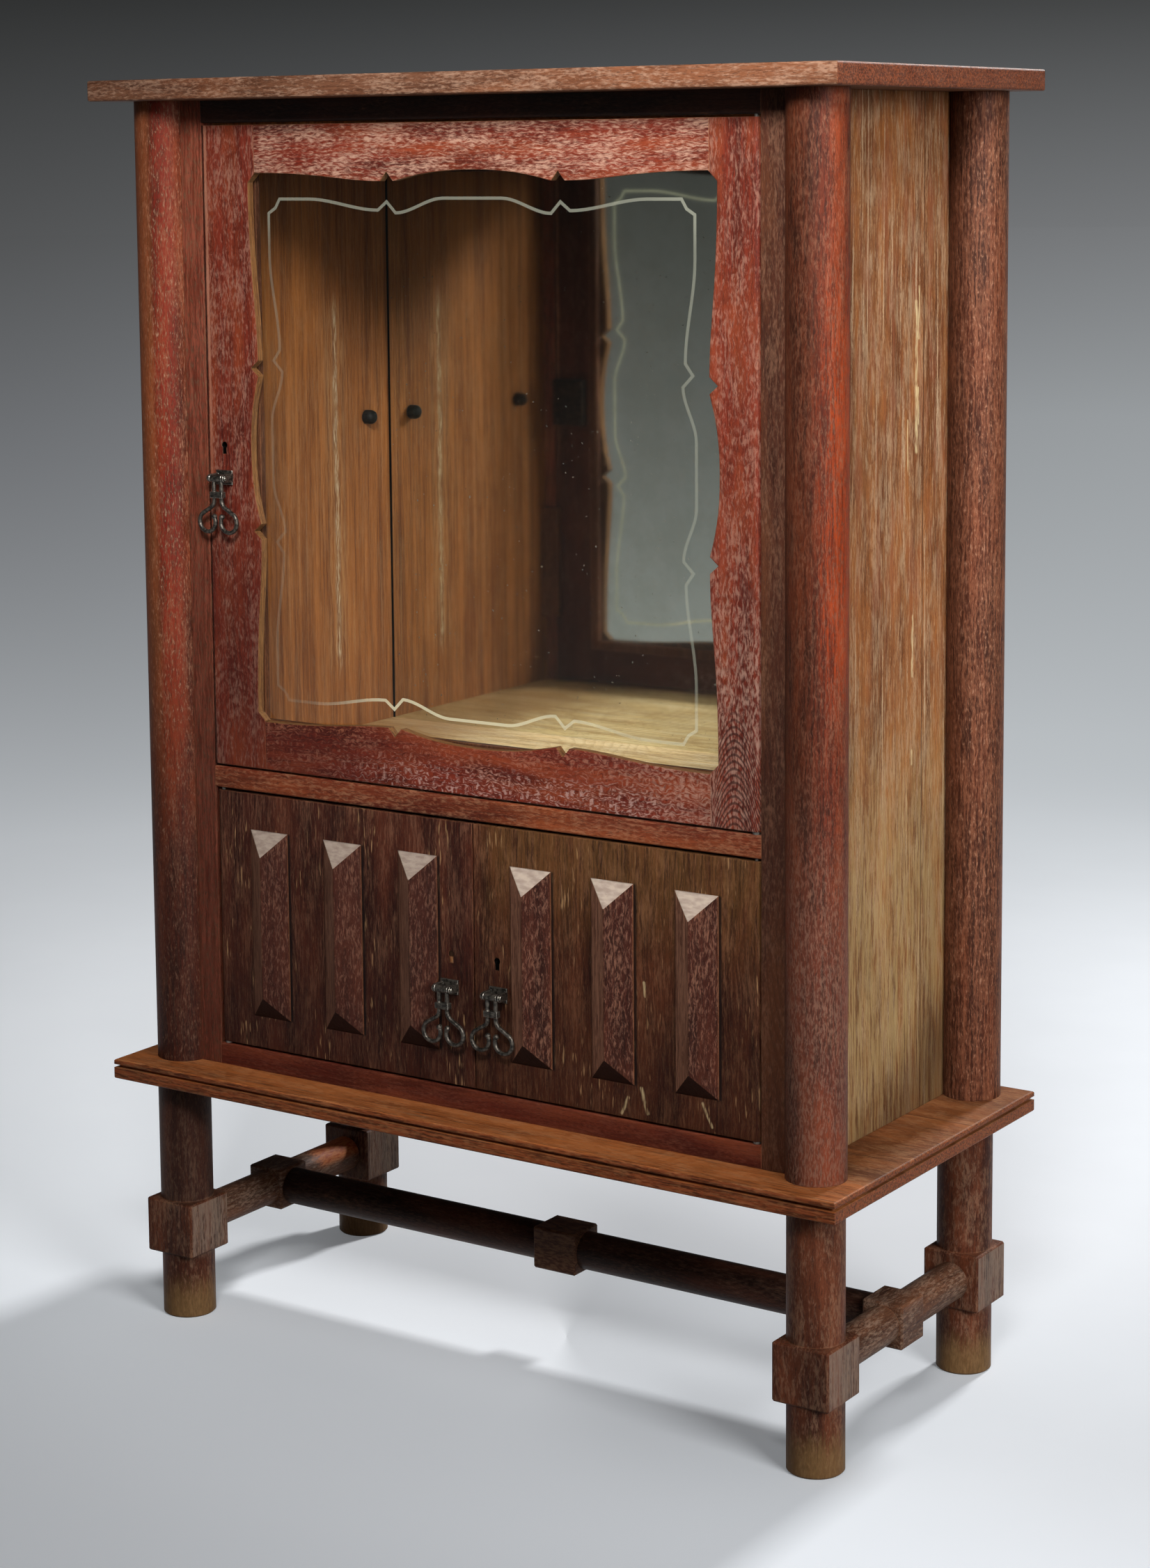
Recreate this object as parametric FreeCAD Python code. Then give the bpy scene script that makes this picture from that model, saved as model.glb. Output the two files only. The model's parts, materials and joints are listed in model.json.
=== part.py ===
import FreeCAD, Part
import math
import os

# Display cabinet on a stretchered stand, millimetres.
# X runs along the front with +X on the hinge side of the glazed door, +Y runs to the back, +Z is up.
# The origin is on the floor, under the centre of the boards.

# Boards
board_length = 1000.0
board_depth = 475.0
top_board_thick = 24.0
mid_board_thick = 24.0
board_edge_round = 2.5
edge_groove_height = 4.0
edge_groove_depth = 5.0
edge_groove_below_top = 6.0

# Legs and stretchers of the stand
leg_height = 300.0
leg_radius = 32.0
leg_end_inset = 57.5
leg_side_inset = 62.5
leg_tenon_radius = 15.0
leg_tenon_length = 10.0
leg_foot_chamfer = 2.0
block_size = 70.0
block_height = 67.0
block_bottom = 80.0
block_chamfer = 2.0
side_stretcher_radius = 22.0
side_block_size = 51.0
side_block_length = 52.0
long_stretcher_radius = 22.5
long_block_size = 51.0
long_block_length = 60.0
stretcher_tenon_radius = 12.0
stretcher_tenon_length = 20.0
mortise_spare = 1.0

# Columns of the case
case_height = 1152.0
column_radius = 33.5
column_end_inset = 58.5
column_front_inset = 64.5
column_rear_inset = 45.5
column_tenon_radius = 15.0
column_tenon_length = 10.0

# Case walls
side_panel_thick = 21.0
side_panel_inside_column_axis = 25.5
front_stile_width = 38.0
front_thick = 22.0
front_before_column_axis = 7.0
panel_tongue_thick = 7.0
panel_tongue_length = 6.0
back_behind_column_axis = 19.0
back_board_thick = 12.0
back_board_count = 5
back_board_chamfer = 2.0
back_rebate_depth = 8.0
mirror_thick = 4.0
mirror_top_clearance = 1.0
rear_batten_thick = 20.0
rear_batten_height = 24.0

# Rails and the display floor
frieze_rail_height = 26.0
middle_rail_height = 26.0
bottom_rail_height = 26.0
rail_arris_round = 2.5
lower_opening_height = 314.0
rail_tenon_thick = 10.0
rail_tenon_height = 16.0
rail_tenon_length = 18.0
display_floor_thick = 18.0
cleat_width = 20.0
cleat_height = 20.0
cleat_end_clearance = 10.0

# Shelf pegs
peg_head_radius = 9.0
peg_head_length = 15.0
peg_head_round = 7.5
peg_shank_radius = 4.0
peg_shank_length = 12.0
peg_above_display_floor = 393.0
peg_front_setback = 67.0
peg_rear_setback = 47.0

# Doors
door_end_gap = 3.0
door_lock_gap = 2.0
door_hinge_gap = 2.5
door_meeting_gap = 2.0
pivot_inset = 6.0
pivot_pin_radius = 2.5
pivot_clearance = 0.05
pivot_pin_in_rail = 10.0
pivot_bore_depth = 14.0
pivot_end_clearance = 1.0
pivot_washer_radius = 5.0

# Glazed door: frame widths are taken at the widest part of the opening
lock_stile_width = 67.0
hinge_stile_width = 50.5
door_top_rail_width = 55.0
door_bottom_rail_width = 57.0
scallop_depth = 10.0
centre_lobe_rise = 2.5
notch_width = 18.0
notch_depth = 10.5
cross_notch_pitch = 232.0
upright_notch_pitch = 191.0
opening_corner_cut = 11.0
# Shape of the lobes, as shares of their own run
outer_lobe_flat_share = 0.55
outer_lobe_lip_share = 0.7
middle_lobe_rise_share = 0.31
middle_lobe_flat_share = 0.56
middle_lobe_lip_share = 0.2
glass_thick = 4.0
glass_lip_thick = 10.0
glass_rebate = 12.0
glass_clearance = 1.0
bead_width = 12.0
door_tenon_thick = 8.0
door_tenon_height = 28.0
door_tenon_length = 32.0
door_tenon_from_edge = 9.0

# Lower doors
bar_count = 3
bar_width = 56.0
bar_length = 227.0
bar_height = 18.0
bar_ridge_flat = 1.0
bar_bottom_margin = 38.0
bar_first_from_middle = 78.5
bar_pitch = 109.2

# Keyholes and locks
keyhole_radius = 4.0
keyhole_slot_width = 5.4
keyhole_drop = 10.5
upper_key_from_edge = 24.0
upper_key_height = 382.0
lower_key_from_edge = 31.0
lower_key_height = 153.0
plug_recess_depth = 8.0
plug_sunk = 1.0
lock_case_length = 48.0
lock_case_height = 62.0
lock_case_depth = 11.0
lock_from_edge = 2.0
lock_key_up = 30.0
lock_key_recess = 8.0
bolt_thick = 5.0
bolt_height = 12.0
bolt_length = 36.0
bolt_clearance = 0.3
bolt_from_door = 2.5
bolt_from_case_top = 6.0
lock_screw_margin = 5.0

# Floor bolt of the left lower door
floor_bolt_plate_width = 26.0
floor_bolt_plate_height = 60.0
floor_bolt_plate_thick = 2.5
floor_bolt_from_edge = 14.0
floor_bolt_from_bottom = 8.0
floor_bolt_rod_radius = 4.0
floor_bolt_guide_wall = 3.0
floor_bolt_guide_height = 12.0
floor_bolt_knob_radius = 5.0
floor_bolt_knob_length = 9.0
floor_bolt_travel = 12.0
floor_bolt_rod_below_plate = 6.0

# Drop pulls
pull_standoff = 14.5
pull_wire_radius = 2.5
pull_bar_offset = 5.6
pull_bar_length = 26.0
pull_flare_radius = 10.0
pull_flare_angle = 60.0
pull_flare_run = 13.2
pull_ring_radius = 12.0
pull_ring_sweep = 270.0
pull_tip_radius = 3.4
pull_barrel_radius = 4.6
pull_barrel_shoulder = 0.3
pull_collar_height = 7.0
pull_collar_thick = 7.0
pull_collar_up = 3.0
pull_collar_lap = 1.0
pull_pin_radius = 2.0
pull_pin_clearance = 0.06
pull_pin_head_radius = 3.4
pull_pin_head_length = 1.8
pull_ear_gap = 0.4
pull_ear_thick = 3.2
pull_ear_radius = 4.8
pull_plate_height = 17.0
pull_plate_thick = 2.2
pull_shank_radius = 2.5
pull_shank_length = 14.0
pull_below_keyhole = 38.0
lower_pull_from_edge = 33.0

# Door stops
stop_thick = 12.0
stop_overlap = 8.0
upper_stop_length = 150.0
upper_stop_above_door_foot = 88.0
lower_stop_width = 44.0

# Screws
screw_shank_radius = 1.8
screw_head_radius = 3.8
screw_head_height = 2.0
screw_grip = 14.0
lock_screw_length = 9.0
back_screw_inset = 26.0
cleat_screw_count = 3
cleat_screw_end = 40.0

# Levels worked out from the heights
mid_bottom = leg_height
mid_top = mid_bottom + mid_board_thick
case_top = mid_top + case_height
total_height = case_top + top_board_thick
bottom_rail_top = mid_top + bottom_rail_height
middle_rail_bottom = bottom_rail_top + lower_opening_height
middle_rail_top = middle_rail_bottom + middle_rail_height
frieze_rail_bottom = case_top - frieze_rail_height
display_floor_top = middle_rail_top
display_floor_bottom = display_floor_top - display_floor_thick

# Places across the width and depth
board_end_x = board_length / 2
board_front_y = -board_depth / 2
board_rear_y = board_depth / 2
leg_x = board_end_x - leg_end_inset
leg_y = board_rear_y - leg_side_inset
column_x = board_end_x - column_end_inset
column_front_y = board_front_y + column_front_inset
column_rear_y = board_rear_y - column_rear_inset
panel_outer_x = column_x - side_panel_inside_column_axis
panel_inner_x = panel_outer_x - side_panel_thick
opening_x = panel_outer_x - front_stile_width
face_y = column_front_y - front_before_column_axis
front_back_y = face_y + front_thick
back_outer_y = column_rear_y + back_behind_column_axis
back_board_y = back_outer_y - back_board_thick
mirror_y = back_board_y - mirror_thick
rebate_x = panel_inner_x + back_rebate_depth

# Door edges
upper_door_bottom = middle_rail_top + door_end_gap
upper_door_top = frieze_rail_bottom - door_end_gap
lower_door_bottom = bottom_rail_top + door_end_gap
lower_door_top = middle_rail_bottom - door_end_gap
upper_lock_edge = -opening_x + door_lock_gap
hinge_edge = opening_x - door_hinge_gap
meeting_edge = door_meeting_gap / 2
pivot_x = hinge_edge - pivot_inset
pivot_y = face_y + pivot_inset

nodes = {}


def vec(x, y, z):
    return FreeCAD.Vector(x, y, z)


X_AXIS = vec(1, 0, 0)
Y_AXIS = vec(0, 1, 0)
Z_AXIS = vec(0, 0, 1)
ORIGIN = vec(0, 0, 0)


def box(x0, x1, y0, y1, z0, z1):
    """Block between two corners, given in either order along X."""
    low = min(x0, x1)
    return Part.makeBox(abs(x1 - x0), y1 - y0, z1 - z0, vec(low, y0, z0))


def rod(start, axis, radius, length):
    return Part.makeCylinder(radius, length, start, axis)


def upright_edges(shape, x, y):
    """Edges that stand along Z at one place in plan."""
    found = []
    for edge in shape.Edges:
        ends = [vertex.Point for vertex in edge.Vertexes]
        if len(ends) == 2 and all(abs(p.x - x) < 1e-4 and abs(p.y - y) < 1e-4 for p in ends):
            found.append(edge)
    return found


def level_edges(shape, z):
    """Edges that lie at one height."""
    return [edge for edge in shape.Edges if all(abs(v.Point.z - z) < 1e-4 for v in edge.Vertexes)]


def prism(edges, depth):
    """Solid swept along +Y from a closed outline."""
    return Part.Face(Part.Wire(edges)).extrude(vec(0, depth, 0))


# Stand
block_top = block_bottom + block_height
stretcher_z = block_bottom + block_height / 2
block_inner_y = leg_y - block_size / 2
side_block_inner_x = leg_x - side_block_size / 2
mortise_depth = stretcher_tenon_length + mortise_spare


def leg(side, rear):
    """Round leg that keeps the square of its billet where the stretcher enters."""
    x = side * leg_x
    y = rear * leg_y
    half = block_size / 2
    turned = rod(vec(x, y, 0), Z_AXIS, leg_radius, leg_height)
    turned = turned.makeChamfer(leg_foot_chamfer, level_edges(turned, 0))
    block = box(x - half, x + half, y - half, y + half, block_bottom, block_top)
    block = block.makeChamfer(block_chamfer, block.Edges)
    tenon = rod(vec(x, y, leg_height), Z_AXIS, leg_tenon_radius, leg_tenon_length)
    inner_face = vec(x, rear * block_inner_y, stretcher_z)
    mortise = rod(inner_face, Y_AXIS * rear, stretcher_tenon_radius, mortise_depth)
    return turned.fuse([block, tenon]).cut(mortise).removeSplitter()


def side_stretcher(side):
    """Round rail between two legs with a square block that takes the long stretcher."""
    x = side * leg_x
    half = side_block_size / 2
    reach = block_inner_y + stretcher_tenon_length
    rail = rod(vec(x, -block_inner_y, stretcher_z), Y_AXIS, side_stretcher_radius, 2 * block_inner_y)
    tenon = rod(vec(x, -reach, stretcher_z), Y_AXIS, stretcher_tenon_radius, 2 * reach)
    block = box(x - half, x + half, -side_block_length / 2, side_block_length / 2,
                stretcher_z - half, stretcher_z + half)
    block = block.makeChamfer(block_chamfer, block.Edges)
    inner_face = vec(side * side_block_inner_x, 0, stretcher_z)
    mortise = rod(inner_face, X_AXIS * side, stretcher_tenon_radius, mortise_depth)
    return rail.fuse([tenon, block]).cut(mortise).removeSplitter()


def long_stretcher():
    half = long_block_size / 2
    reach = side_block_inner_x + stretcher_tenon_length
    rail = rod(vec(-side_block_inner_x, 0, stretcher_z), X_AXIS, long_stretcher_radius,
               2 * side_block_inner_x)
    tenon = rod(vec(-reach, 0, stretcher_z), X_AXIS, stretcher_tenon_radius, 2 * reach)
    block = box(-long_block_length / 2, long_block_length / 2, -half, half,
                stretcher_z - half, stretcher_z + half)
    block = block.makeChamfer(block_chamfer, block.Edges)
    return rail.fuse([tenon, block]).removeSplitter()


for side, side_name in ((-1, "left"), (1, "right")):
    nodes["leg_front_" + side_name] = leg(side, -1)
    nodes["leg_rear_" + side_name] = leg(side, 1)
    nodes["side_stretcher_" + side_name] = side_stretcher(side)
nodes["long_stretcher"] = long_stretcher()


# Boards
column_places = [(side * column_x, y) for side in (-1, 1) for y in (column_front_y, column_rear_y)]
leg_places = [(side * leg_x, end * leg_y) for side in (-1, 1) for end in (-1, 1)]


def plain_board(bottom, thick):
    board = box(-board_end_x, board_end_x, board_front_y, board_rear_y, bottom, bottom + thick)
    rims = level_edges(board, bottom) + level_edges(board, bottom + thick)
    return board.makeFillet(board_edge_round, rims)


def top_board():
    board = plain_board(case_top, top_board_thick)
    sockets = [rod(vec(x, y, case_top), Z_AXIS, column_tenon_radius, column_tenon_length)
               for x, y in column_places]
    return board.cut(sockets)


def mid_board():
    """Board that carries the case, with a groove along its front and ends."""
    board = plain_board(mid_bottom, mid_board_thick)
    groove_top = mid_top - edge_groove_below_top
    groove_bottom = groove_top - edge_groove_height
    band = box(-board_end_x, board_end_x, board_front_y, board_rear_y, groove_bottom, groove_top)
    core_x = board_end_x - edge_groove_depth
    core = box(-core_x, core_x, board_front_y + edge_groove_depth, board_rear_y,
               groove_bottom, groove_top)
    column_socket_z = mid_top - column_tenon_length
    sockets = [rod(vec(x, y, column_socket_z), Z_AXIS, column_tenon_radius, column_tenon_length)
               for x, y in column_places]
    sockets += [rod(vec(x, y, mid_bottom), Z_AXIS, leg_tenon_radius, leg_tenon_length)
                for x, y in leg_places]
    return board.cut(band.cut(core)).cut(sockets)


nodes["top_board"] = top_board()
nodes["mid_board"] = mid_board()


# Columns, side panels and front stiles
def column(side, y):
    """Round column, cut flat where the corner of the case stands inside it."""
    x = side * column_x
    shaft = rod(vec(x, y, mid_top), Z_AXIS, column_radius, case_height)
    case_corner = box(-panel_outer_x, panel_outer_x, face_y, back_outer_y, mid_top, case_top)
    tenon = rod(vec(x, y, mid_top - column_tenon_length), Z_AXIS, column_tenon_radius,
                case_height + 2 * column_tenon_length)
    keep_tenon = tenon.cut(box(-panel_outer_x, panel_outer_x, face_y, back_outer_y, 0, total_height))
    return shaft.cut(case_corner).fuse(keep_tenon).removeSplitter()


tongue_x = panel_outer_x - side_panel_thick / 2 - panel_tongue_thick / 2


def tongue(side):
    return box(side * tongue_x, side * (tongue_x + panel_tongue_thick),
               front_back_y - panel_tongue_length, front_back_y, mid_top, case_top)


def side_panel(side):
    """Side wall with a tongue in the front stile and a rebate for the mirror and the back."""
    panel = box(side * panel_inner_x, side * panel_outer_x, front_back_y, back_outer_y, mid_top, case_top)
    rebate = box(side * panel_inner_x, side * rebate_x, mirror_y, back_outer_y, mid_top, case_top)
    return panel.cut(rebate).fuse(tongue(side)).removeSplitter()


rail_levels = {"frieze_rail": (frieze_rail_bottom, case_top),
               "middle_rail": (middle_rail_bottom, middle_rail_top),
               "bottom_rail": (mid_top, bottom_rail_top)}


def rail_tenon(low, high, spare):
    """Tenon that runs through a front rail and into both stiles."""
    middle = (low + high) / 2
    reach = opening_x + rail_tenon_length + spare
    centre_y = face_y + front_thick / 2
    return box(-reach, reach, centre_y - rail_tenon_thick / 2, centre_y + rail_tenon_thick / 2,
               middle - rail_tenon_height / 2, middle + rail_tenon_height / 2)


def front_stile(side):
    stile = box(side * opening_x, side * panel_outer_x, face_y, front_back_y, mid_top, case_top)
    mortises = [rail_tenon(low, high, mortise_spare) for low, high in rail_levels.values()]
    return stile.cut(mortises + [tongue(side)])


def front_rail(low, high):
    """Rail whose front arrises are rounded where they border a door."""
    rail = box(-opening_x, opening_x, face_y, front_back_y, low, high)
    bordering = [z for z in (low, high) if mid_top < z < case_top]
    arrises = [edge for z in bordering for edge in level_edges(rail, z)
               if all(abs(vertex.Point.y - face_y) < 1e-4 for vertex in edge.Vertexes)]
    return rail.makeFillet(rail_arris_round, arrises).fuse(rail_tenon(low, high, 0)).removeSplitter()


for side, side_name in ((-1, "left"), (1, "right")):
    nodes["column_front_" + side_name] = column(side, column_front_y)
    nodes["column_rear_" + side_name] = column(side, column_rear_y)
    nodes["side_panel_" + side_name] = side_panel(side)
    nodes["front_stile_" + side_name] = front_stile(side)
for rail_name, (low, high) in rail_levels.items():
    nodes[rail_name] = front_rail(low, high)


# Display floor, mirror, plank back and the strips that carry them
batten_y = back_board_y - rear_batten_thick
top_batten_bottom = case_top - rear_batten_height
nodes["display_floor"] = box(-panel_inner_x, panel_inner_x, front_back_y, back_board_y,
                             display_floor_bottom, display_floor_top)
nodes["mirror"] = box(-rebate_x, rebate_x, mirror_y, back_board_y,
                      display_floor_top, top_batten_bottom - mirror_top_clearance)
rear_battens = [box(-panel_inner_x, panel_inner_x, batten_y, back_board_y, top_batten_bottom, case_top),
                box(-panel_inner_x, panel_inner_x, batten_y, back_board_y,
                    mid_top, mid_top + rear_batten_height)]
plank_width = 2 * rebate_x / back_board_count


def back_plank(index):
    """Upright plank whose outer arrises are taken off."""
    left = -rebate_x + index * plank_width
    right = left + plank_width
    plank = box(left, right, back_board_y, back_outer_y, mid_top, case_top)
    arrises = upright_edges(plank, left, back_outer_y) + upright_edges(plank, right, back_outer_y)
    return plank.makeChamfer(back_board_chamfer, arrises)


back_planks = [back_plank(index) for index in range(back_board_count)]
cleat_front = front_back_y + cleat_end_clearance
cleat_rear = back_board_y - cleat_end_clearance
cleats = [box(side * (panel_inner_x - cleat_width), side * panel_inner_x, cleat_front, cleat_rear,
              display_floor_bottom - cleat_height, display_floor_bottom) for side in (-1, 1)]


def shelf_peg(side, y):
    """Turned knob that carries the edge of a shelf."""
    z = display_floor_top + peg_above_display_floor
    wall = vec(side * panel_inner_x, y, z)
    inward = X_AXIS * -side
    head = rod(wall, inward, peg_head_radius, peg_head_length)
    tip_x = side * (panel_inner_x - peg_head_length)
    tip = [edge for edge in head.Edges if all(abs(v.Point.x - tip_x) < 1e-4 for v in edge.Vertexes)]
    head = head.makeFillet(peg_head_round, tip)
    return head.fuse(rod(wall, X_AXIS * side, peg_shank_radius, peg_shank_length)).removeSplitter()


peg_rows = (front_back_y + peg_front_setback, mirror_y - peg_rear_setback)
pegs = {side: [shelf_peg(side, y) for y in peg_rows] for side in (-1, 1)}
nodes["shelf_pegs"] = Part.makeCompound(pegs[-1] + pegs[1])
for side, side_name in ((-1, "left"), (1, "right")):
    nodes["side_panel_" + side_name] = nodes["side_panel_" + side_name].cut(pegs[side])


# Screws
def screw(seat, direction, length):
    """Round-head screw: the head stands on the seat, the shank goes along the direction."""
    head = rod(seat, direction * -1, screw_head_radius, screw_head_height)
    return head.fuse(rod(seat, direction, screw_shank_radius, length)).removeSplitter()


back_screw_length = back_board_thick + screw_grip
back_screw_levels = (mid_top + rear_batten_height / 2, (display_floor_bottom + display_floor_top) / 2,
                     case_top - rear_batten_height / 2)
plank_centres = [-rebate_x + (index + 0.5) * plank_width for index in range(back_board_count)]
plank_screw_offset = plank_width / 2 - back_screw_inset
back_screws = [screw(vec(centre + end * plank_screw_offset, back_outer_y, z), Y_AXIS * -1, back_screw_length)
               for centre in plank_centres for end in (-1, 1) for z in back_screw_levels]
cleat_z = display_floor_bottom - cleat_height / 2
cleat_screw_step = (cleat_rear - cleat_front - 2 * cleat_screw_end) / (cleat_screw_count - 1)
cleat_screw_rows = [cleat_front + cleat_screw_end + index * cleat_screw_step
                    for index in range(cleat_screw_count)]
cleat_screws = [screw(vec(side * (panel_inner_x - cleat_width), y, cleat_z), X_AXIS * side,
                      cleat_width + screw_grip) for side in (-1, 1) for y in cleat_screw_rows]
nodes["back_planks"] = Part.makeCompound([plank.cut(back_screws) for plank in back_planks])
nodes["rear_battens"] = Part.makeCompound([batten.cut(back_screws) for batten in rear_battens])
nodes["floor_cleats"] = Part.makeCompound([cleat.cut(cleat_screws) for cleat in cleats])
nodes["display_floor"] = nodes["display_floor"].cut(back_screws)
for side_name in ("left", "right"):
    nodes["side_panel_" + side_name] = nodes["side_panel_" + side_name].cut(cleat_screws)
nodes["back_screws"] = Part.makeCompound(back_screws)
nodes["cleat_screws"] = Part.makeCompound(cleat_screws)


# Door pivots: a pin stands in each rail and turns in a bore in the end of the door
pin_in_door = pivot_bore_depth - pivot_end_clearance
pin_length = pivot_pin_in_rail + door_end_gap + pin_in_door
upper_pivots = ((pivot_x, middle_rail_top, 1), (pivot_x, frieze_rail_bottom, -1))
lower_pivots = tuple((side * pivot_x, level, up) for side in (-1, 1)
                     for level, up in ((bottom_rail_top, 1), (middle_rail_bottom, -1)))


def pivot_pin(x, level, up):
    start = vec(x, pivot_y, level - up * pivot_pin_in_rail)
    return rod(start, Z_AXIS * up, pivot_pin_radius, pin_length)


def pivot_bore(x, level, up):
    start = vec(x, pivot_y, level + up * door_end_gap)
    return rod(start, Z_AXIS * up, pivot_pin_radius + pivot_clearance, pivot_bore_depth)


def pivot_washer(x, level):
    """Washer that the foot of the door turns on."""
    ring = rod(vec(x, pivot_y, level), Z_AXIS, pivot_washer_radius, door_end_gap)
    return ring.cut(rod(vec(x, pivot_y, level), Z_AXIS, pivot_pin_radius, door_end_gap))


pivot_pins = [pivot_pin(*place) for place in upper_pivots + lower_pivots]
washers = [pivot_washer(x, level) for x, level, up in upper_pivots + lower_pivots if up > 0]
for rail_name in rail_levels:
    nodes[rail_name] = nodes[rail_name].cut(pivot_pins)
nodes["pivot_pins"] = Part.makeCompound(pivot_pins)
nodes["pivot_washers"] = Part.makeCompound(washers)


def hinge_rounded(shape, x):
    """The front corner beside the pivot is rounded about the pivot, so that it clears the stile."""
    return shape.makeFillet(pivot_inset, upright_edges(shape, x, face_y))


# Keyholes
upper_key_x = upper_lock_edge + upper_key_from_edge
upper_key_z = upper_door_bottom + upper_key_height
lower_key_x = meeting_edge + lower_key_from_edge
lower_key_z = lower_door_bottom + lower_key_height


def keyhole(x, z, y, depth):
    """Round hole with a slot below it, going in along +Y."""
    hole = rod(vec(x, y, z), Y_AXIS, keyhole_radius, depth)
    half = keyhole_slot_width / 2
    return hole.fuse(box(x - half, x + half, y, y + depth, z - keyhole_drop, z))


# Drop pulls
upper_pull_x = upper_key_x
upper_pull_z = upper_key_z - pull_below_keyhole
lower_pull_x = meeting_edge + lower_pull_from_edge
lower_pull_z = lower_key_z - pull_below_keyhole
pull_axis_y = face_y - pull_standoff
barrel_half = pull_bar_offset + pull_wire_radius + pull_barrel_shoulder
ear_inner = barrel_half + pull_ear_gap
ear_outer = ear_inner + pull_ear_thick


def pull_half(side):
    """Straight bar that flares outward and curls round into an open ring, made about the pivot."""
    turn = math.radians(pull_flare_angle)
    heading = vec(side * math.sin(turn), 0, -math.cos(turn))
    to_ring = vec(side * -math.cos(turn), 0, -math.sin(turn))

    def on_flare(angle):
        return vec(side * (pull_bar_offset + pull_flare_radius * (1 - math.cos(angle))), 0,
                   -pull_bar_length - pull_flare_radius * math.sin(angle))

    bar_top = vec(side * pull_bar_offset, 0, 0)
    bar_foot = on_flare(0)
    flare_end = on_flare(turn)
    ring_start = flare_end + heading * pull_flare_run
    ring_centre = ring_start + to_ring * pull_ring_radius

    def on_ring(swept):
        angle = math.pi / 2 - math.radians(90 - pull_flare_angle) - math.radians(swept)
        return ring_centre + vec(side * math.cos(angle), 0, math.sin(angle)) * pull_ring_radius

    path = Part.Wire([
        Part.LineSegment(bar_top, bar_foot).toShape(),
        Part.Arc(bar_foot, on_flare(turn / 2), flare_end).toShape(),
        Part.LineSegment(flare_end, ring_start).toShape(),
        Part.Arc(ring_start, on_ring(pull_ring_sweep / 2), on_ring(pull_ring_sweep)).toShape()])
    section = Part.Wire(Part.Circle(bar_top, Z_AXIS, pull_wire_radius).toShape())
    wire = path.makePipeShell([section], True, False)
    return wire.fuse(Part.makeSphere(pull_tip_radius, on_ring(pull_ring_sweep)))


def pull_shape():
    """Barrel on the pin, two curled bars and the collar that ties them."""
    barrel = rod(vec(-barrel_half, 0, 0), X_AXIS, pull_barrel_radius, 2 * barrel_half)
    collar_half = pull_bar_offset + pull_wire_radius + pull_collar_lap
    collar_z = -pull_bar_length + pull_collar_up
    collar = box(-collar_half, collar_half, -pull_collar_thick / 2, pull_collar_thick / 2,
                 collar_z, collar_z + pull_collar_height)
    bore = rod(vec(-barrel_half, 0, 0), X_AXIS, pull_pin_radius + pull_pin_clearance, 2 * barrel_half)
    return barrel.fuse([pull_half(-1), pull_half(1), collar]).removeSplitter().cut(bore)


def pull_pin():
    reach = ear_outer + pull_pin_head_length
    pin = rod(vec(-reach, 0, 0), X_AXIS, pull_pin_radius, 2 * reach)
    heads = [rod(vec(-reach, 0, 0), X_AXIS, pull_pin_head_radius, pull_pin_head_length),
             rod(vec(ear_outer, 0, 0), X_AXIS, pull_pin_head_radius, pull_pin_head_length)]
    return pin.fuse(heads).removeSplitter()


def pull_bracket():
    """Plate with two ears for the pin and a shank that is driven into the door."""
    plate_y = pull_standoff - pull_plate_thick
    half_height = pull_plate_height / 2
    plate = box(-ear_outer, ear_outer, plate_y, pull_standoff, -half_height, half_height)
    shank = rod(vec(0, pull_standoff, 0), Y_AXIS, pull_shank_radius, pull_shank_length)
    pieces = [shank]
    for left in (-ear_outer, ear_inner):
        pieces.append(rod(vec(left, 0, 0), X_AXIS, pull_ear_radius, pull_ear_thick))
        pieces.append(box(left, left + pull_ear_thick, 0, pull_standoff, -pull_ear_radius, pull_ear_radius))
    return plate.fuse(pieces).removeSplitter().cut(pull_pin())


def placed(shape, x, z):
    moved = shape.copy()
    moved.translate(vec(x, pull_axis_y, z))
    return moved


pull_places = {"upper": (upper_pull_x, upper_pull_z), "lower_left": (-lower_pull_x, lower_pull_z),
               "lower_right": (lower_pull_x, lower_pull_z)}
for door_name, (x, z) in pull_places.items():
    nodes[door_name + "_pull"] = placed(pull_shape(), x, z)
    nodes[door_name + "_pull_pin"] = placed(pull_pin(), x, z)
    nodes[door_name + "_pull_bracket"] = placed(pull_bracket(), x, z)


# Rim locks, fixed on the back of a door beside its free edge; the bolt moves to -X
def lock_pieces(edge_x, key_x, key_z):
    """Case, bolt and screws of one lock."""
    case_x = edge_x + lock_from_edge
    case_end = case_x + lock_case_length
    case_bottom = key_z - lock_key_up
    case_top_z = case_bottom + lock_case_height
    case = box(case_x, case_end, front_back_y, front_back_y + lock_case_depth, case_bottom, case_top_z)
    bolt_y = front_back_y + bolt_from_door
    bolt_top = case_top_z - bolt_from_case_top
    bolt = box(case_x, case_x + bolt_length, bolt_y, bolt_y + bolt_thick, bolt_top - bolt_height, bolt_top)
    channel = box(case_x, case_x + bolt_length + bolt_clearance,
                  bolt_y - bolt_clearance, bolt_y + bolt_thick + bolt_clearance,
                  bolt_top - bolt_height - bolt_clearance, bolt_top + bolt_clearance)
    case = case.cut([channel, keyhole(key_x, key_z, front_back_y, lock_key_recess)])
    seat_y = front_back_y + lock_case_depth
    low_z = case_bottom + lock_screw_margin
    places = [(case_x + lock_screw_margin, low_z), (case_end - lock_screw_margin, low_z),
              (case_end - lock_screw_margin, case_top_z - lock_screw_margin)]
    screws = [screw(vec(x, seat_y, z), Y_AXIS * -1, lock_case_depth + lock_screw_length) for x, z in places]
    return case.cut(screws), bolt, screws


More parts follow.
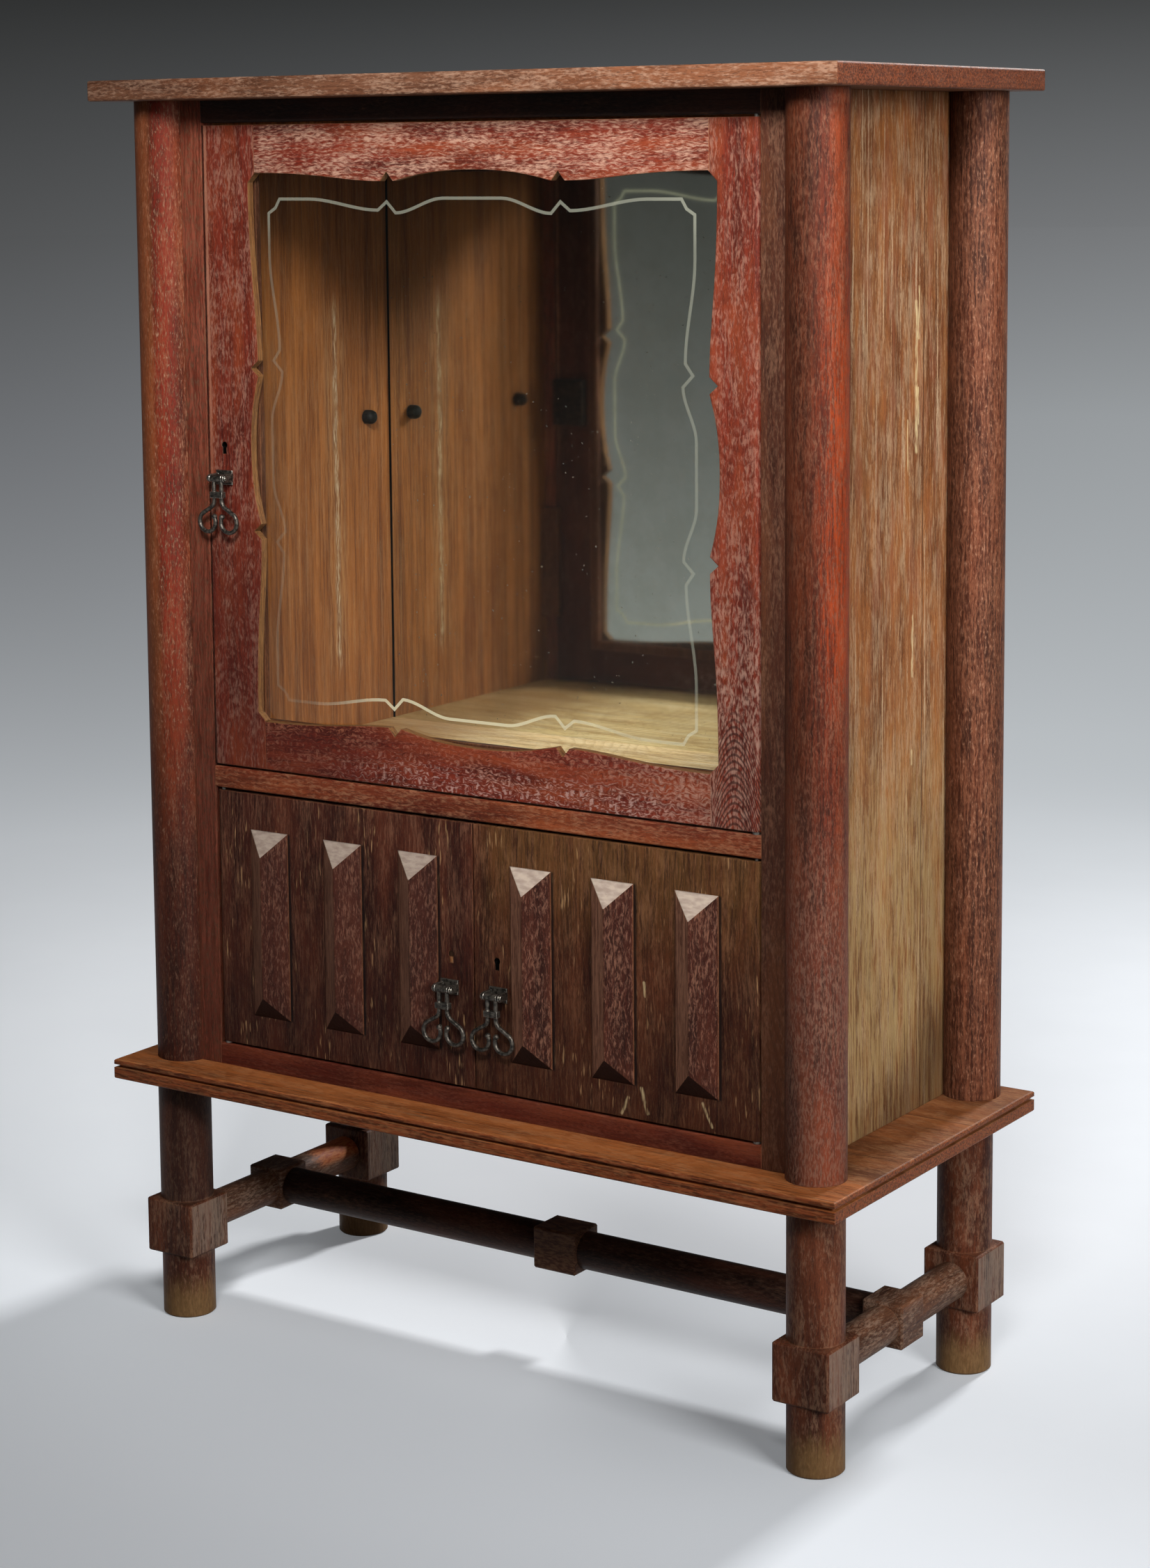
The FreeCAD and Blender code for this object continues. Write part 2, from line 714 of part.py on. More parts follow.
upper_case, upper_bolt, upper_lock_screws = lock_pieces(upper_lock_edge, upper_key_x, upper_key_z)
lower_case, lower_bolt, lower_lock_screws = lock_pieces(meeting_edge, lower_key_x, lower_key_z)
nodes["upper_lock_case"] = upper_case
nodes["upper_lock_bolt"] = upper_bolt
nodes["upper_lock_screws"] = Part.makeCompound(upper_lock_screws)
nodes["lower_lock_case"] = lower_case
nodes["lower_lock_bolt"] = lower_bolt
nodes["lower_lock_screws"] = Part.makeCompound(lower_lock_screws)


# Floor bolt on the back of the left lower door; it drops behind the bottom rail
plate_right = -meeting_edge - floor_bolt_from_edge
plate_left = plate_right - floor_bolt_plate_width
plate_bottom = lower_door_bottom + floor_bolt_from_bottom
plate_top = plate_bottom + floor_bolt_plate_height
rod_x = (plate_left + plate_right) / 2
guide_radius = floor_bolt_rod_radius + floor_bolt_guide_wall
rod_y = front_back_y + floor_bolt_plate_thick + guide_radius
guide_levels = (plate_bottom, plate_top - floor_bolt_guide_height)
rod_bottom = plate_bottom - floor_bolt_rod_below_plate


def floor_bolt_plate():
    """Plate with two guides for the rod."""
    plate = box(plate_left, plate_right, front_back_y, front_back_y + floor_bolt_plate_thick,
                plate_bottom, plate_top)
    guides = []
    for level in guide_levels:
        guides.append(rod(vec(rod_x, rod_y, level), Z_AXIS, guide_radius, floor_bolt_guide_height))
        guides.append(box(rod_x - guide_radius, rod_x + guide_radius, front_back_y, rod_y,
                          level, level + floor_bolt_guide_height))
    bore = rod(vec(rod_x, rod_y, plate_bottom), Z_AXIS, floor_bolt_rod_radius + pivot_clearance,
               floor_bolt_plate_height)
    return plate.fuse(guides).removeSplitter().cut(bore)


def floor_bolt_rod():
    shaft = rod(vec(rod_x, rod_y, rod_bottom), Z_AXIS, floor_bolt_rod_radius, plate_top - rod_bottom)
    lowest_knob = plate_bottom + floor_bolt_guide_height + floor_bolt_travel + floor_bolt_knob_radius
    knob_z = lowest_knob + floor_bolt_guide_wall
    knob = rod(vec(rod_x, rod_y, knob_z), Y_AXIS, floor_bolt_knob_radius,
               floor_bolt_rod_radius + floor_bolt_knob_length)
    return shaft.fuse(knob).removeSplitter()


plate_screw_x = (plate_left + lock_screw_margin, plate_right - lock_screw_margin)
plate_screw_z = (plate_bottom + plate_top) / 2
floor_bolt_screws = [screw(vec(x, front_back_y + floor_bolt_plate_thick, plate_screw_z), Y_AXIS * -1,
                           floor_bolt_plate_thick + lock_screw_length) for x in plate_screw_x]
nodes["floor_bolt_plate"] = floor_bolt_plate().cut(floor_bolt_screws)
nodes["floor_bolt_rod"] = floor_bolt_rod()
nodes["floor_bolt_screws"] = Part.makeCompound(floor_bolt_screws)


# Lower doors
def hipped_bar(centre_x):
    """Long bar with a ridge and hipped ends, glued to the front of a door."""
    low_z = lower_door_bottom + bar_bottom_margin
    high_z = low_z + bar_length
    half = bar_width / 2
    flat = bar_ridge_flat / 2
    bar = Part.makeWedge(-half, 0, low_z, low_z + half, -flat,
                         half, bar_height, high_z, high_z - half, flat)
    bar = bar.mirror(ORIGIN, Y_AXIS)
    bar.translate(vec(centre_x, face_y, 0))
    return bar


def lower_slab(side):
    """Slab door with its front corner rounded at the pivots and bores in both ends."""
    slab = box(side * meeting_edge, side * hinge_edge, face_y, front_back_y,
               lower_door_bottom, lower_door_top)
    slab = hinge_rounded(slab, side * hinge_edge)
    return slab.cut([pivot_bore(*place) for place in lower_pivots])


for side, side_name in ((-1, "left"), (1, "right")):
    slab = lower_slab(side)
    bars = [hipped_bar(side * (bar_first_from_middle + index * bar_pitch)) for index in range(bar_count)]
    slab = slab.cut(nodes["lower_" + side_name + "_pull_bracket"])
    nodes["lower_" + side_name + "_slab"] = slab
    nodes["lower_" + side_name + "_bars"] = Part.makeCompound(bars)
plug_hole = keyhole(-lower_key_x, lower_key_z, face_y, plug_recess_depth)
plug = keyhole(-lower_key_x, lower_key_z, face_y + plug_sunk, plug_recess_depth - plug_sunk)
nodes["lower_left_slab"] = nodes["lower_left_slab"].cut([plug_hole] + floor_bolt_screws)
nodes["keyhole_plug"] = plug.removeSplitter()
through_keyhole = keyhole(lower_key_x, lower_key_z, face_y, front_thick)
nodes["lower_right_slab"] = nodes["lower_right_slab"].cut([through_keyhole] + lower_lock_screws)


# Glazed door
opening_left = upper_lock_edge + lock_stile_width
opening_right = hinge_edge - hinge_stile_width
opening_bottom = upper_door_bottom + door_bottom_rail_width
opening_top = upper_door_top - door_top_rail_width
opening_centre_z = (opening_bottom + opening_top) / 2


def scalloped_side(length, notch_pitch, place):
    """One edge of the opening, from corner to corner: lobe, notch, middle lobe, notch, lobe.
    place turns a run along the edge and a depth towards the middle of the opening into a point."""
    middle = length / 2
    half_notch = notch_width / 2
    first = middle - notch_pitch / 2
    lip = first - half_notch
    sharp_lip = first + half_notch
    outer_span = lip - opening_corner_cut
    inner_span = middle - sharp_lip
    outer = [(opening_corner_cut, 0),
             (opening_corner_cut + outer_span * outer_lobe_flat_share, 0),
             (opening_corner_cut + outer_span * outer_lobe_lip_share, scallop_depth),
             (lip, scallop_depth)]
    apex = (first, scallop_depth - notch_depth)
    inner = [(sharp_lip, scallop_depth),
             (sharp_lip + inner_span * middle_lobe_rise_share, scallop_depth * middle_lobe_lip_share),
             (sharp_lip + inner_span * middle_lobe_flat_share, -centre_lobe_rise),
             (middle, -centre_lobe_rise)]

    def mirrored(points):
        return [(length - run, depth) for run, depth in reversed(points)]

    def curve(points):
        bezier = Part.BezierCurve()
        bezier.setPoles([place(run, depth) for run, depth in points])
        return bezier.toShape()

    def line(start, end):
        return Part.LineSegment(place(*start), place(*end)).toShape()

    far_apex = (length - first, apex[1])
    return [curve(outer), line(outer[-1], apex), line(apex, inner[0]), curve(inner),
            curve(mirrored(inner)), line(mirrored(inner)[-1], far_apex),
            line(far_apex, mirrored(outer)[0]), curve(mirrored(outer))]


def opening_edges():
    """Outline of the glazed opening on the front of the door."""
    width = opening_right - opening_left
    height = opening_top - opening_bottom
    sides = [
        scalloped_side(width, cross_notch_pitch,
                       lambda run, depth: vec(opening_left + run, face_y, opening_top - depth)),
        scalloped_side(height, upright_notch_pitch,
                       lambda run, depth: vec(opening_right - depth, face_y, opening_top - run)),
        scalloped_side(width, cross_notch_pitch,
                       lambda run, depth: vec(opening_right - run, face_y, opening_bottom + depth)),
        scalloped_side(height, upright_notch_pitch,
                       lambda run, depth: vec(opening_left + depth, face_y, opening_bottom + run))]
    edges = []
    for index, side_edges in enumerate(sides):
        following = sides[(index + 1) % len(sides)]
        corner_start = side_edges[-1].Vertexes[-1].Point
        corner_end = following[0].Vertexes[0].Point
        edges += side_edges
        edges.append(Part.LineSegment(corner_start, corner_end).toShape())
    return edges


rebate_left = opening_left - glass_rebate
rebate_right = opening_right + glass_rebate
rebate_bottom = opening_bottom - glass_rebate
rebate_top = opening_top + glass_rebate
glass_front_y = face_y + glass_lip_thick
glass_back_y = glass_front_y + glass_thick
left_joint = opening_left + scallop_depth
right_joint = opening_right - scallop_depth

door_frame = box(upper_lock_edge, hinge_edge, face_y, front_back_y, upper_door_bottom, upper_door_top)
door_frame = hinge_rounded(door_frame, hinge_edge)
door_frame = door_frame.cut([
    prism(opening_edges(), front_thick),
    box(rebate_left, rebate_right, glass_front_y, front_back_y, rebate_bottom, rebate_top)])


def frame_piece(x0, x1, z0, z1):
    return door_frame.common(box(x0, x1, face_y, front_back_y, z0, z1))


tenon_front = face_y + (front_thick - door_tenon_thick) / 2
tenon_levels = (upper_door_bottom + door_tenon_from_edge,
                upper_door_top - door_tenon_from_edge - door_tenon_height)


def door_tenon(level, spare):
    reach = door_tenon_length + spare
    return box(left_joint - reach, right_joint + reach, tenon_front, tenon_front + door_tenon_thick,
               level, level + door_tenon_height)


mortises = [door_tenon(level, mortise_spare) for level in tenon_levels]
lock_stile = frame_piece(upper_lock_edge, left_joint, upper_door_bottom, upper_door_top)
upper_keyhole = keyhole(upper_key_x, upper_key_z, face_y, front_thick)
nodes["upper_lock_stile"] = lock_stile.cut(
    mortises + upper_lock_screws + [upper_keyhole, nodes["upper_pull_bracket"]])
hinge_stile = frame_piece(right_joint, hinge_edge, upper_door_bottom, upper_door_top)
nodes["upper_hinge_stile"] = hinge_stile.cut(mortises + [pivot_bore(*place) for place in upper_pivots])
bottom_rail = frame_piece(left_joint, right_joint, upper_door_bottom, opening_centre_z)
top_rail = frame_piece(left_joint, right_joint, opening_centre_z, upper_door_top)
nodes["upper_door_bottom_rail"] = bottom_rail.fuse(door_tenon(tenon_levels[0], 0)).removeSplitter()
nodes["upper_door_top_rail"] = top_rail.fuse(door_tenon(tenon_levels[1], 0)).removeSplitter()
nodes["upper_door_glass"] = box(rebate_left + glass_clearance, rebate_right - glass_clearance,
                                glass_front_y, glass_back_y,
                                rebate_bottom + glass_clearance, rebate_top - glass_clearance)
inner_left = rebate_left + bead_width
inner_right = rebate_right - bead_width
nodes["glazing_beads"] = Part.makeCompound([
    box(rebate_left, inner_left, glass_back_y, front_back_y, rebate_bottom, rebate_top),
    box(inner_right, rebate_right, glass_back_y, front_back_y, rebate_bottom, rebate_top),
    box(inner_left, inner_right, glass_back_y, front_back_y, rebate_bottom, rebate_bottom + bead_width),
    box(inner_left, inner_right, glass_back_y, front_back_y, rebate_top - bead_width, rebate_top)])


# Door stops: a strip behind the lock edge of the glazed door, a block under the display floor
stop_back_y = front_back_y + stop_thick
upper_stop_bottom = upper_door_bottom + upper_stop_above_door_foot
upper_stop = box(-panel_inner_x, upper_lock_edge + stop_overlap, front_back_y, stop_back_y,
                 upper_stop_bottom, upper_stop_bottom + upper_stop_length)
lower_stop = box(-lower_stop_width / 2, lower_stop_width / 2, front_back_y, stop_back_y,
                 lower_door_top - stop_overlap, display_floor_bottom)
nodes["door_stops"] = Part.makeCompound([upper_stop, lower_stop])


os.makedirs("parts", exist_ok=True)
for name, shape in nodes.items():
    shape.exportStep("parts/" + name + ".step")
    print(name, len(shape.Solids), shape.isValid(), round(shape.Volume / 1000, 2))
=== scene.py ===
# %% [markdown]
# # A limed oak display cabinet
# The cabinet stands on four turned legs joined by stretchers. Above them a case holds two slab doors with
# hipped bars, and over those a glazed door with a scalloped opening, in front of a mirrored display space.
# The shapes come from the CAD model, so this lesson loads it as a fixed frame and then works on the
# finishes, on the engraved line of the glass, and on the studio around the cabinet.

# %% Load the frame
import json
import math

import bmesh
import bpy
from mathutils import Matrix, Vector


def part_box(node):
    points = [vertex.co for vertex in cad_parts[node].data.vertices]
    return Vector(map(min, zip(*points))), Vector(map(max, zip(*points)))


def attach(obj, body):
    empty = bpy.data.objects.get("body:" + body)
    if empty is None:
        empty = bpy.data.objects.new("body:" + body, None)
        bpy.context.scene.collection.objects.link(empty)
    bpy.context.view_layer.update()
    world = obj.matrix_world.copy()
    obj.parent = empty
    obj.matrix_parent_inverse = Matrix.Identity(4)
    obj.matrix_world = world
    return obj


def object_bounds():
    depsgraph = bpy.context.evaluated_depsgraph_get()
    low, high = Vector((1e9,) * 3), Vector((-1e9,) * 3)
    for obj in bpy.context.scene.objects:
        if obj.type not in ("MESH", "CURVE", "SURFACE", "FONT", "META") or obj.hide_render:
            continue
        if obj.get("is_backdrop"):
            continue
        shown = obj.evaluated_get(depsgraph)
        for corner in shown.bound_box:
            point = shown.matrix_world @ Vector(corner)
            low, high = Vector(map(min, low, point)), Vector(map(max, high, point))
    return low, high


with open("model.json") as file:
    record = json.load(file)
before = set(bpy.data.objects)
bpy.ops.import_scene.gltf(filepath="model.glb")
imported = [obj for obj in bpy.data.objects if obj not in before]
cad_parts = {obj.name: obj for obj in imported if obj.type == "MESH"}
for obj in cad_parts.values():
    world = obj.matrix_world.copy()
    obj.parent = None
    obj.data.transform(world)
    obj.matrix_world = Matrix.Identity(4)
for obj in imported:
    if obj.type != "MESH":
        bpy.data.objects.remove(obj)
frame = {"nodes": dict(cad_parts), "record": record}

nodes = frame["nodes"]
cad_low, cad_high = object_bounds()
print("cabinet: %.3f m wide, %.3f m deep, %.3f m high" % tuple(b - a for a, b in zip(cad_low, cad_high)))

# %% [markdown]
# ## The camera
# The photograph looks down a little on the front and the right-hand side. A camera can be aimed with a
# constraint, but three named turns (how far it swings round, nods and rolls) are easier to compare with a
# picture. A small downward shift of the lens keeps the uprights nearly parallel, as in furniture pictures.

# %% Camera
IMAGE_HEIGHT = 2253
FOCAL_PIXELS = 4534.56
SENSOR_MM = 36.0
LENS_SHIFT = -0.14
scene = bpy.context.scene
camera_place = Vector((2.05038, -3.01821, 1.40422))
swing, nod, roll = (math.radians(turn) for turn in (33.91, -7.31, -0.47))


def add_object(name, data):
    """A new object in the scene, for a camera, a lamp or a mesh."""
    made = bpy.data.objects.new(name, data)
    scene.collection.objects.link(made)
    return made


look = Vector((-math.sin(swing) * math.cos(nod), math.cos(swing) * math.cos(nod), math.sin(nod)))
level_right = Vector((math.cos(swing), math.sin(swing), 0))
right = level_right * math.cos(roll) + level_right.cross(look) * math.sin(roll)
axes = Matrix((right, right.cross(look), -look)).transposed()

lens = bpy.data.cameras.new("studio_camera")
lens.sensor_width = SENSOR_MM
lens.lens = FOCAL_PIXELS / IMAGE_HEIGHT * SENSOR_MM
lens.shift_y = LENS_SHIFT
camera = add_object("studio_camera", lens)
camera.matrix_world = Matrix.Translation(camera_place) @ axes.to_4x4()
scene.camera = camera
print("camera: %.1f mm lens, %.2f m away" % (lens.lens, camera_place.length))

# %% [markdown]
# ## Shader sums
# A finish is a recipe of sums: streaks plus pores, less the worn edges. Nodes can be placed and linked by
# hand, but sums read best as Python expressions. A Wire is one output of a node, and sums of wires add the
# Math nodes.


# %% Wires
class Wire:
    """An output socket that can take part in sums."""

    def __init__(self, finish, socket):
        self.finish = finish
        self.socket = socket

    def sum(self, operation, first, second=0.0):
        """One Math node, as a new wire."""
        return self.finish.node("ShaderNodeMath", {"operation": operation}, {0: first, 1: second})

    def __add__(self, other):
        return self.sum("ADD", self, other)

    def __radd__(self, other):
        return self.sum("ADD", other, self)

    def __sub__(self, other):
        return self.sum("SUBTRACT", self, other)

    def __rsub__(self, other):
        return self.sum("SUBTRACT", other, self)

    def __mul__(self, other):
        return self.sum("MULTIPLY", self, other)

    def __rmul__(self, other):
        return self.sum("MULTIPLY", other, self)

    def __truediv__(self, other):
        return self.sum("DIVIDE", self, other)

    def __pow__(self, other):
        return self.sum("POWER", self, other)

    def __mod__(self, other):
        return self.sum("FLOORED_MODULO", self, other)

    def __abs__(self):
        return self.sum("ABSOLUTE", self)


print("a wire is", Wire.__doc__)

# %% [markdown]
# ## Finishes
# A Finish is a node tree with one method that adds any node. The others are short names for what most
# finishes need: a blend of two colours, an eased step, cloudy noise, fibres drawn out along the grain, where
# a point lies, which way it faces, and how near it is to an arris. Places and directions are taken in the
# piece's own space, so a finish moves with its piece when a door swings.


# %% Finishes
class Finish:
    """A node tree that is built one node at a time."""

    def __init__(self, owner):
        owner.use_nodes = True
        self.owner = owner
        self.tree = owner.node_tree
        self.tree.nodes.clear()

    def node(self, kind, settings=None, sockets=None, out=0):
        """Adds a node, makes its settings, then fills or links its sockets, and gives back one output."""
        made = self.tree.nodes.new(kind)
        for name, value in (settings or {}).items():
            setattr(made, name, value)
        for name, value in (sockets or {}).items():
            if isinstance(value, Wire):
                self.tree.links.new(value.socket, made.inputs[name])
            else:
                made.inputs[name].default_value = value
        return Wire(self, made.outputs[out]) if made.outputs else made

    def split(self, vector):
        """The three parts of a vector."""
        first = self.node("ShaderNodeSeparateXYZ", None, {0: vector})
        return [Wire(self, socket) for socket in first.socket.node.outputs]

    def point(self, x, y, z):
        """A vector of three parts."""
        return self.node("ShaderNodeCombineXYZ", None, {0: x, 1: y, 2: z})

    def here(self):
        """Where a point lies on its piece: x, y and z in metres."""
        return self.split(self.node("ShaderNodeTexCoord", out="Object"))

    def facing(self):
        """The direction that a face looks."""
        return self.split(self.node("ShaderNodeTexCoord", out="Normal"))

    def blend(self, share, first, second):
        """The colour that lies between two colours."""
        return self.node("ShaderNodeMix", {"data_type": "RGBA"}, {0: share, 6: first, 7: second}, out=2)

    def ease(self, value, start, end, rise="SMOOTHSTEP"):
        """0 before start, 1 after end, and a smooth or a straight rise between them."""
        return self.node("ShaderNodeMapRange", {"interpolation_type": rise},
                         {"Value": value, "From Min": start, "From Max": end})

    def noise(self, x, y, z, detail=2.0, roughness=0.5):
        """Cloudy noise whose blobs are about one unit across."""
        return self.node("ShaderNodeTexNoise", None, {
            "Vector": self.point(x, y, z), "Scale": 1.0, "Detail": detail, "Roughness": roughness})

    def cloud(self, per_metre, *detail):
        """Noise that is alike in every direction, with so many blobs to a metre."""
        return self.noise(*(part * per_metre for part in self.here()), *detail)

    def fibres(self, place, size, shift=0.0):
        """Noise drawn out along the grain. size is the width and length of its blobs, then their detail."""
        across, into, along = place
        width, length, *detail = size
        start = across / width + shift if shift else across / width
        return self.noise(start, into / width, along / length, *detail)

    def rounded(self, radius):
        """A normal that rounds the arrises, and how far it turns away from the flat face there."""
        round_normal = self.node("ShaderNodeBevel", {"samples": 4}, {"Radius": radius})
        flat_normal = self.node("ShaderNodeNewGeometry", out="Normal")
        agreement = self.node("ShaderNodeVectorMath", {"operation": "DOT_PRODUCT"},
                              {0: round_normal, 1: flat_normal}, out="Value")
        return round_normal, 1 - agreement

    def surface(self, shader):
        """Ends the tree with its output, and gives back the finished material or world."""
        world = isinstance(self.owner, bpy.types.World)
        self.node("ShaderNodeOutputWorld" if world else "ShaderNodeOutputMaterial", None, {"Surface": shader})
        return self.owner


def tone(red, green, blue):
    """A colour as a screen shows it, 0 to 255, turned into the linear colour that a shader takes."""
    parts = [part / 255 for part in (red, green, blue)]
    return (*(part / 12.92 if part <= 0.04045 else ((part + 0.055) / 1.055) ** 2.4 for part in parts), 1.0)


print("a middle red-brown is %.3f %.3f %.3f in linear light" % tone(122, 58, 44)[:3])

# %% [markdown]
# ## The studio floor
# The cabinet stands on a seamless pale floor that darkens with distance. A curved backdrop would get in the
# way of the other views, so the floor is one wide disc. Near the cabinet it is matt paper that the lamps
# light, with a faint light of its own that softens the shadows. The paper is painted darker on the bright
# side of the studio and paler towards the front, and its own light is weaker close round the cabinet: this
# is painted light and painted shade. Farther off it turns into a glow, so no lamp is needed to even out the
# background. Light that bounces off it towards the wood sees a darker paper, as if black cloth lay beside
# the set, because a white floor would wash out the undersides.

# %% Floor
FLOOR_RADIUS = 60.0
FLOOR_SEGMENTS = 96
BLACK = (0.0, 0.0, 0.0, 1.0)
HORIZON = tone(77, 78, 79), tone(121, 123, 125)
SIDE = Vector((0.83, 0.56))
SIDE_BLEND = -0.3, 0.3
FADE_REACH = 1.6, 4.2
GLOW_SHADE_REACH = 0.25, 0.6
FRONT_LIGHT_Y = 0.1, -0.5
MOTTLE_PER_METRE = 6
FAR_CLOSENESS, NEAR_CLOSENESS = 0.073, 0.33

floor_mesh = bpy.data.meshes.new("studio_floor")
shape = bmesh.new()
bmesh.ops.create_circle(shape, cap_ends=True, segments=FLOOR_SEGMENTS, radius=FLOOR_RADIUS)
shape.to_mesh(floor_mesh)
shape.free()
floor = add_object("studio_floor", floor_mesh)
floor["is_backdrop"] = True


def toward_side(f, x, y):
    """0 on the dim side of the studio, 1 on its bright side."""
    return f.ease((x * SIDE.x + y * SIDE.y) / (x * x + y * y) ** 0.5, *SIDE_BLEND)


f = Finish(bpy.data.materials.new("studio_paper"))
x, y, z = f.here()
distance = (x * x + y * y) ** 0.5
closeness = distance ** -1.0
aside = toward_side(f, x, y)
mottle = f.noise(x * MOTTLE_PER_METRE, y * MOTTLE_PER_METRE, 0.0, 3.0)
# Painted shade: the paper is darker on the bright side of the studio, where the lamps are strongest.
paper = f.blend(aside * 0.85 + mottle * 0.15, tone(238, 241, 245), tone(203, 206, 210))
# Painted light: paler paper towards the front, where the cabinet throws its shadow.
paper = f.blend(f.ease(y, *FRONT_LIGHT_Y), paper, tone(236, 240, 245))
# Painted shade: the floor's faint light of its own is weaker close round the cabinet.
floor_glow_and_shade = f.blend(f.ease(distance, *GLOW_SHADE_REACH), tone(76, 79, 82), tone(98, 101, 104))
far_glow = f.blend(aside, tone(106, 108, 111), tone(153, 157, 160))
near_glow = f.blend(aside, tone(180, 184, 188), tone(198, 203, 207))
rising = f.ease(closeness, 1 / FLOOR_RADIUS, FAR_CLOSENESS, "LINEAR")
glow = f.blend(rising, f.blend(aside, *HORIZON), far_glow)
glow = f.blend(f.ease(closeness, FAR_CLOSENESS, NEAR_CLOSENESS, "LINEAR"), glow, near_glow)
far = f.ease(distance, *FADE_REACH)
pale = f.node("ShaderNodeBsdfPrincipled", None, {
    "Base Color": f.blend(far, paper, BLACK), "Roughness": 0.9, "Specular IOR Level": 0.0,
    "Emission Color": f.blend(far, floor_glow_and_shade, glow), "Emission Strength": 1.0})
flagged = f.node("ShaderNodeBsdfPrincipled", None, {"Base Color": tone(96, 96, 96), "Roughness": 0.9})
bounced = f.node("ShaderNodeLightPath", out="Is Diffuse Ray")
floor_mesh.materials.append(f.surface(f.node("ShaderNodeMixShader", None, {0: bounced, 1: pale, 2: flagged})))
print("floor: %.0f m across" % (2 * FLOOR_RADIUS))

# %% [markdown]
# ## The studio sky
# The sky that lights the wood is an even grey. What the camera, the glass and the mirror see of it is a
# darker backdrop. One sky cannot do both, so two are mixed, and Light Path, which knows what kind of ray is
# asking, picks the one to show.

# %% Sky
SKY = 0.09
BACKDROP_TOP = 0.055
world = bpy.data.worlds.new("studio_sky")
scene.world = world
f = Finish(world)
x, y, height = f.split(f.node("ShaderNodeTexCoord", out="Generated"))
aside = toward_side(f, x, y)
floor_edge = -camera_place.z / FLOOR_RADIUS
backdrop = f.blend(f.ease(height, floor_edge, BACKDROP_TOP, "LINEAR"), f.blend(aside, *HORIZON),
                   f.blend(aside, tone(43, 44, 44), tone(62, 63, 63)))
rays = f.node("ShaderNodeLightPath").socket.node.outputs
to_camera, to_mirror, to_glass = (Wire(f, rays[name]) for name in
                                  ("Is Camera Ray", "Is Glossy Ray", "Is Transmission Ray"))
light = f.node("ShaderNodeBackground", None, {"Color": (1, 1, 1, 1), "Strength": SKY})
scenery = f.node("ShaderNodeBackground", None, {"Color": backdrop, "Strength": 1.0})
f.surface(f.node("ShaderNodeMixShader", None, {0: to_camera + to_mirror + to_glass, 1: light, 2: scenery}))
print("sky: strength %.2f" % SKY)

# %% [markdown]
# ## The studio lamps
# Three lamps light the cabinet: a soft box with a grid high in front to the right, a soft box to the right,
# and a smaller lamp high behind that throws the shadow of the cabinet forward over the floor. Spots would
# give hard shadows, so all are area lamps. The grid, a narrow spread, keeps the front light on the glazed
# door, so the lower left sinks into shade.


# %% Lamps
def soft_box(name, place, aim, width, watts, spread):
    """A square lamp at a place, aimed at a point. The spread is an angle in degrees."""
    lamp = bpy.data.lights.new(name, "AREA")
    lamp.size = width
    lamp.energy = watts
    lamp.spread = math.radians(spread)
    lamp_object = add_object(name, lamp)
    lamp_object.location = place
    lamp_object.rotation_euler = (Vector(aim) - Vector(place)).to_track_quat("-Z", "Y").to_euler()


soft_box("front_soft_box", place=(1.3, -2.3, 2.7), aim=(0.18, -0.1, 1.36), width=0.8, watts=10.5, spread=44)
soft_box("side_soft_box", place=(3.2, -1.3, 1.9), aim=(0.4, 0.0, 0.7), width=1.4, watts=24, spread=90)
soft_box("back_lamp", place=(0.5, 3.4, 2.9), aim=(0.1, 0.0, 0.2), width=0.5, watts=80, spread=140)

# %% [markdown]
# ## The grain of oak
# Wood is noise with a direction: each fleck, streak and band is longer along the grain than across it, so
# every noise is named with its width and its length. Growth rings are circles round a pith that lies behind
# the face, and where the face cuts them at a slant they draw pointed figures. A Wave texture has rings as
# well, but its middle is a straight line, and a real pith sways along the tree.

# %% Grain
# Each noise of the wood: millimetres across the grain and along it, then its detail and roughness
BEND = 70, 260, 1.0
RIPPLE = 8, 15, 1.0
BROAD = 26, 210, 3.0
HEAT = 34, 190, 2.0
PATCH = 18, 60, 2.0
STREAK = 2.4, 60, 4.0, 0.6
GRIT = 0.8, 4.5, 3.0, 0.7
PORE = 1.2, 12, 2.0
THREAD = 4.0, 300, 1.0
SPECK_DETAIL = 4.0, 0.6
HEAT_SHIFT, PATCH_SHIFT = 40, 80
SWAY_LENGTH, DIVE_LENGTH = 330, 270


def growth_rings(f, place, piece, ripple, ring, pith):
    """1 in the dark late wood of each ring, round a pith that sways and dives along the tree."""
    across, into, along = place
    sway = f.noise(along / SWAY_LENGTH, piece * 70, 0.0, 1.0)
    dive = f.noise(along / DIVE_LENGTH, piece * 90, 7.0, 1.0)
    from_pith = across - pith[0] * (sway * 6 - 3)
    below_pith = into - pith[1] * (dive * 3 - 0.5)
    radius = (from_pith * from_pith + below_pith * below_pith) ** 0.5
    return f.ease((radius / ring + ripple * 0.6) % 1.0, 0.45, 0.95)


print("grain: finest %.1f mm wide, longest %.0f mm long" % (GRIT[0], THREAD[1]))

# %% [markdown]
# ## Limed oak
# The cabinet is oak whose open pores were brushed out and filled with pale lime, then stained and waxed.
# A picture of wood could be wrapped round each piece, but a solid recipe runs through the piece as real
# grain does, so the end grain, the edges and the faces agree. The grain wanders slowly and curls finely.
# Broad bands, warm patches and fine streaks make the stain, the rings draw faint figures, and short flecks of
# lime lie along the grain, thicker in some places than in others. The Bevel node rounds the arrises for the
# light, and shows where hands and cloths have worn them.

# %% Oak recipe
MM = 1000.0
ARRIS_RADIUS = 0.0022
TREE_LENGTH = 2900
RUBBED = tone(152, 98, 64)


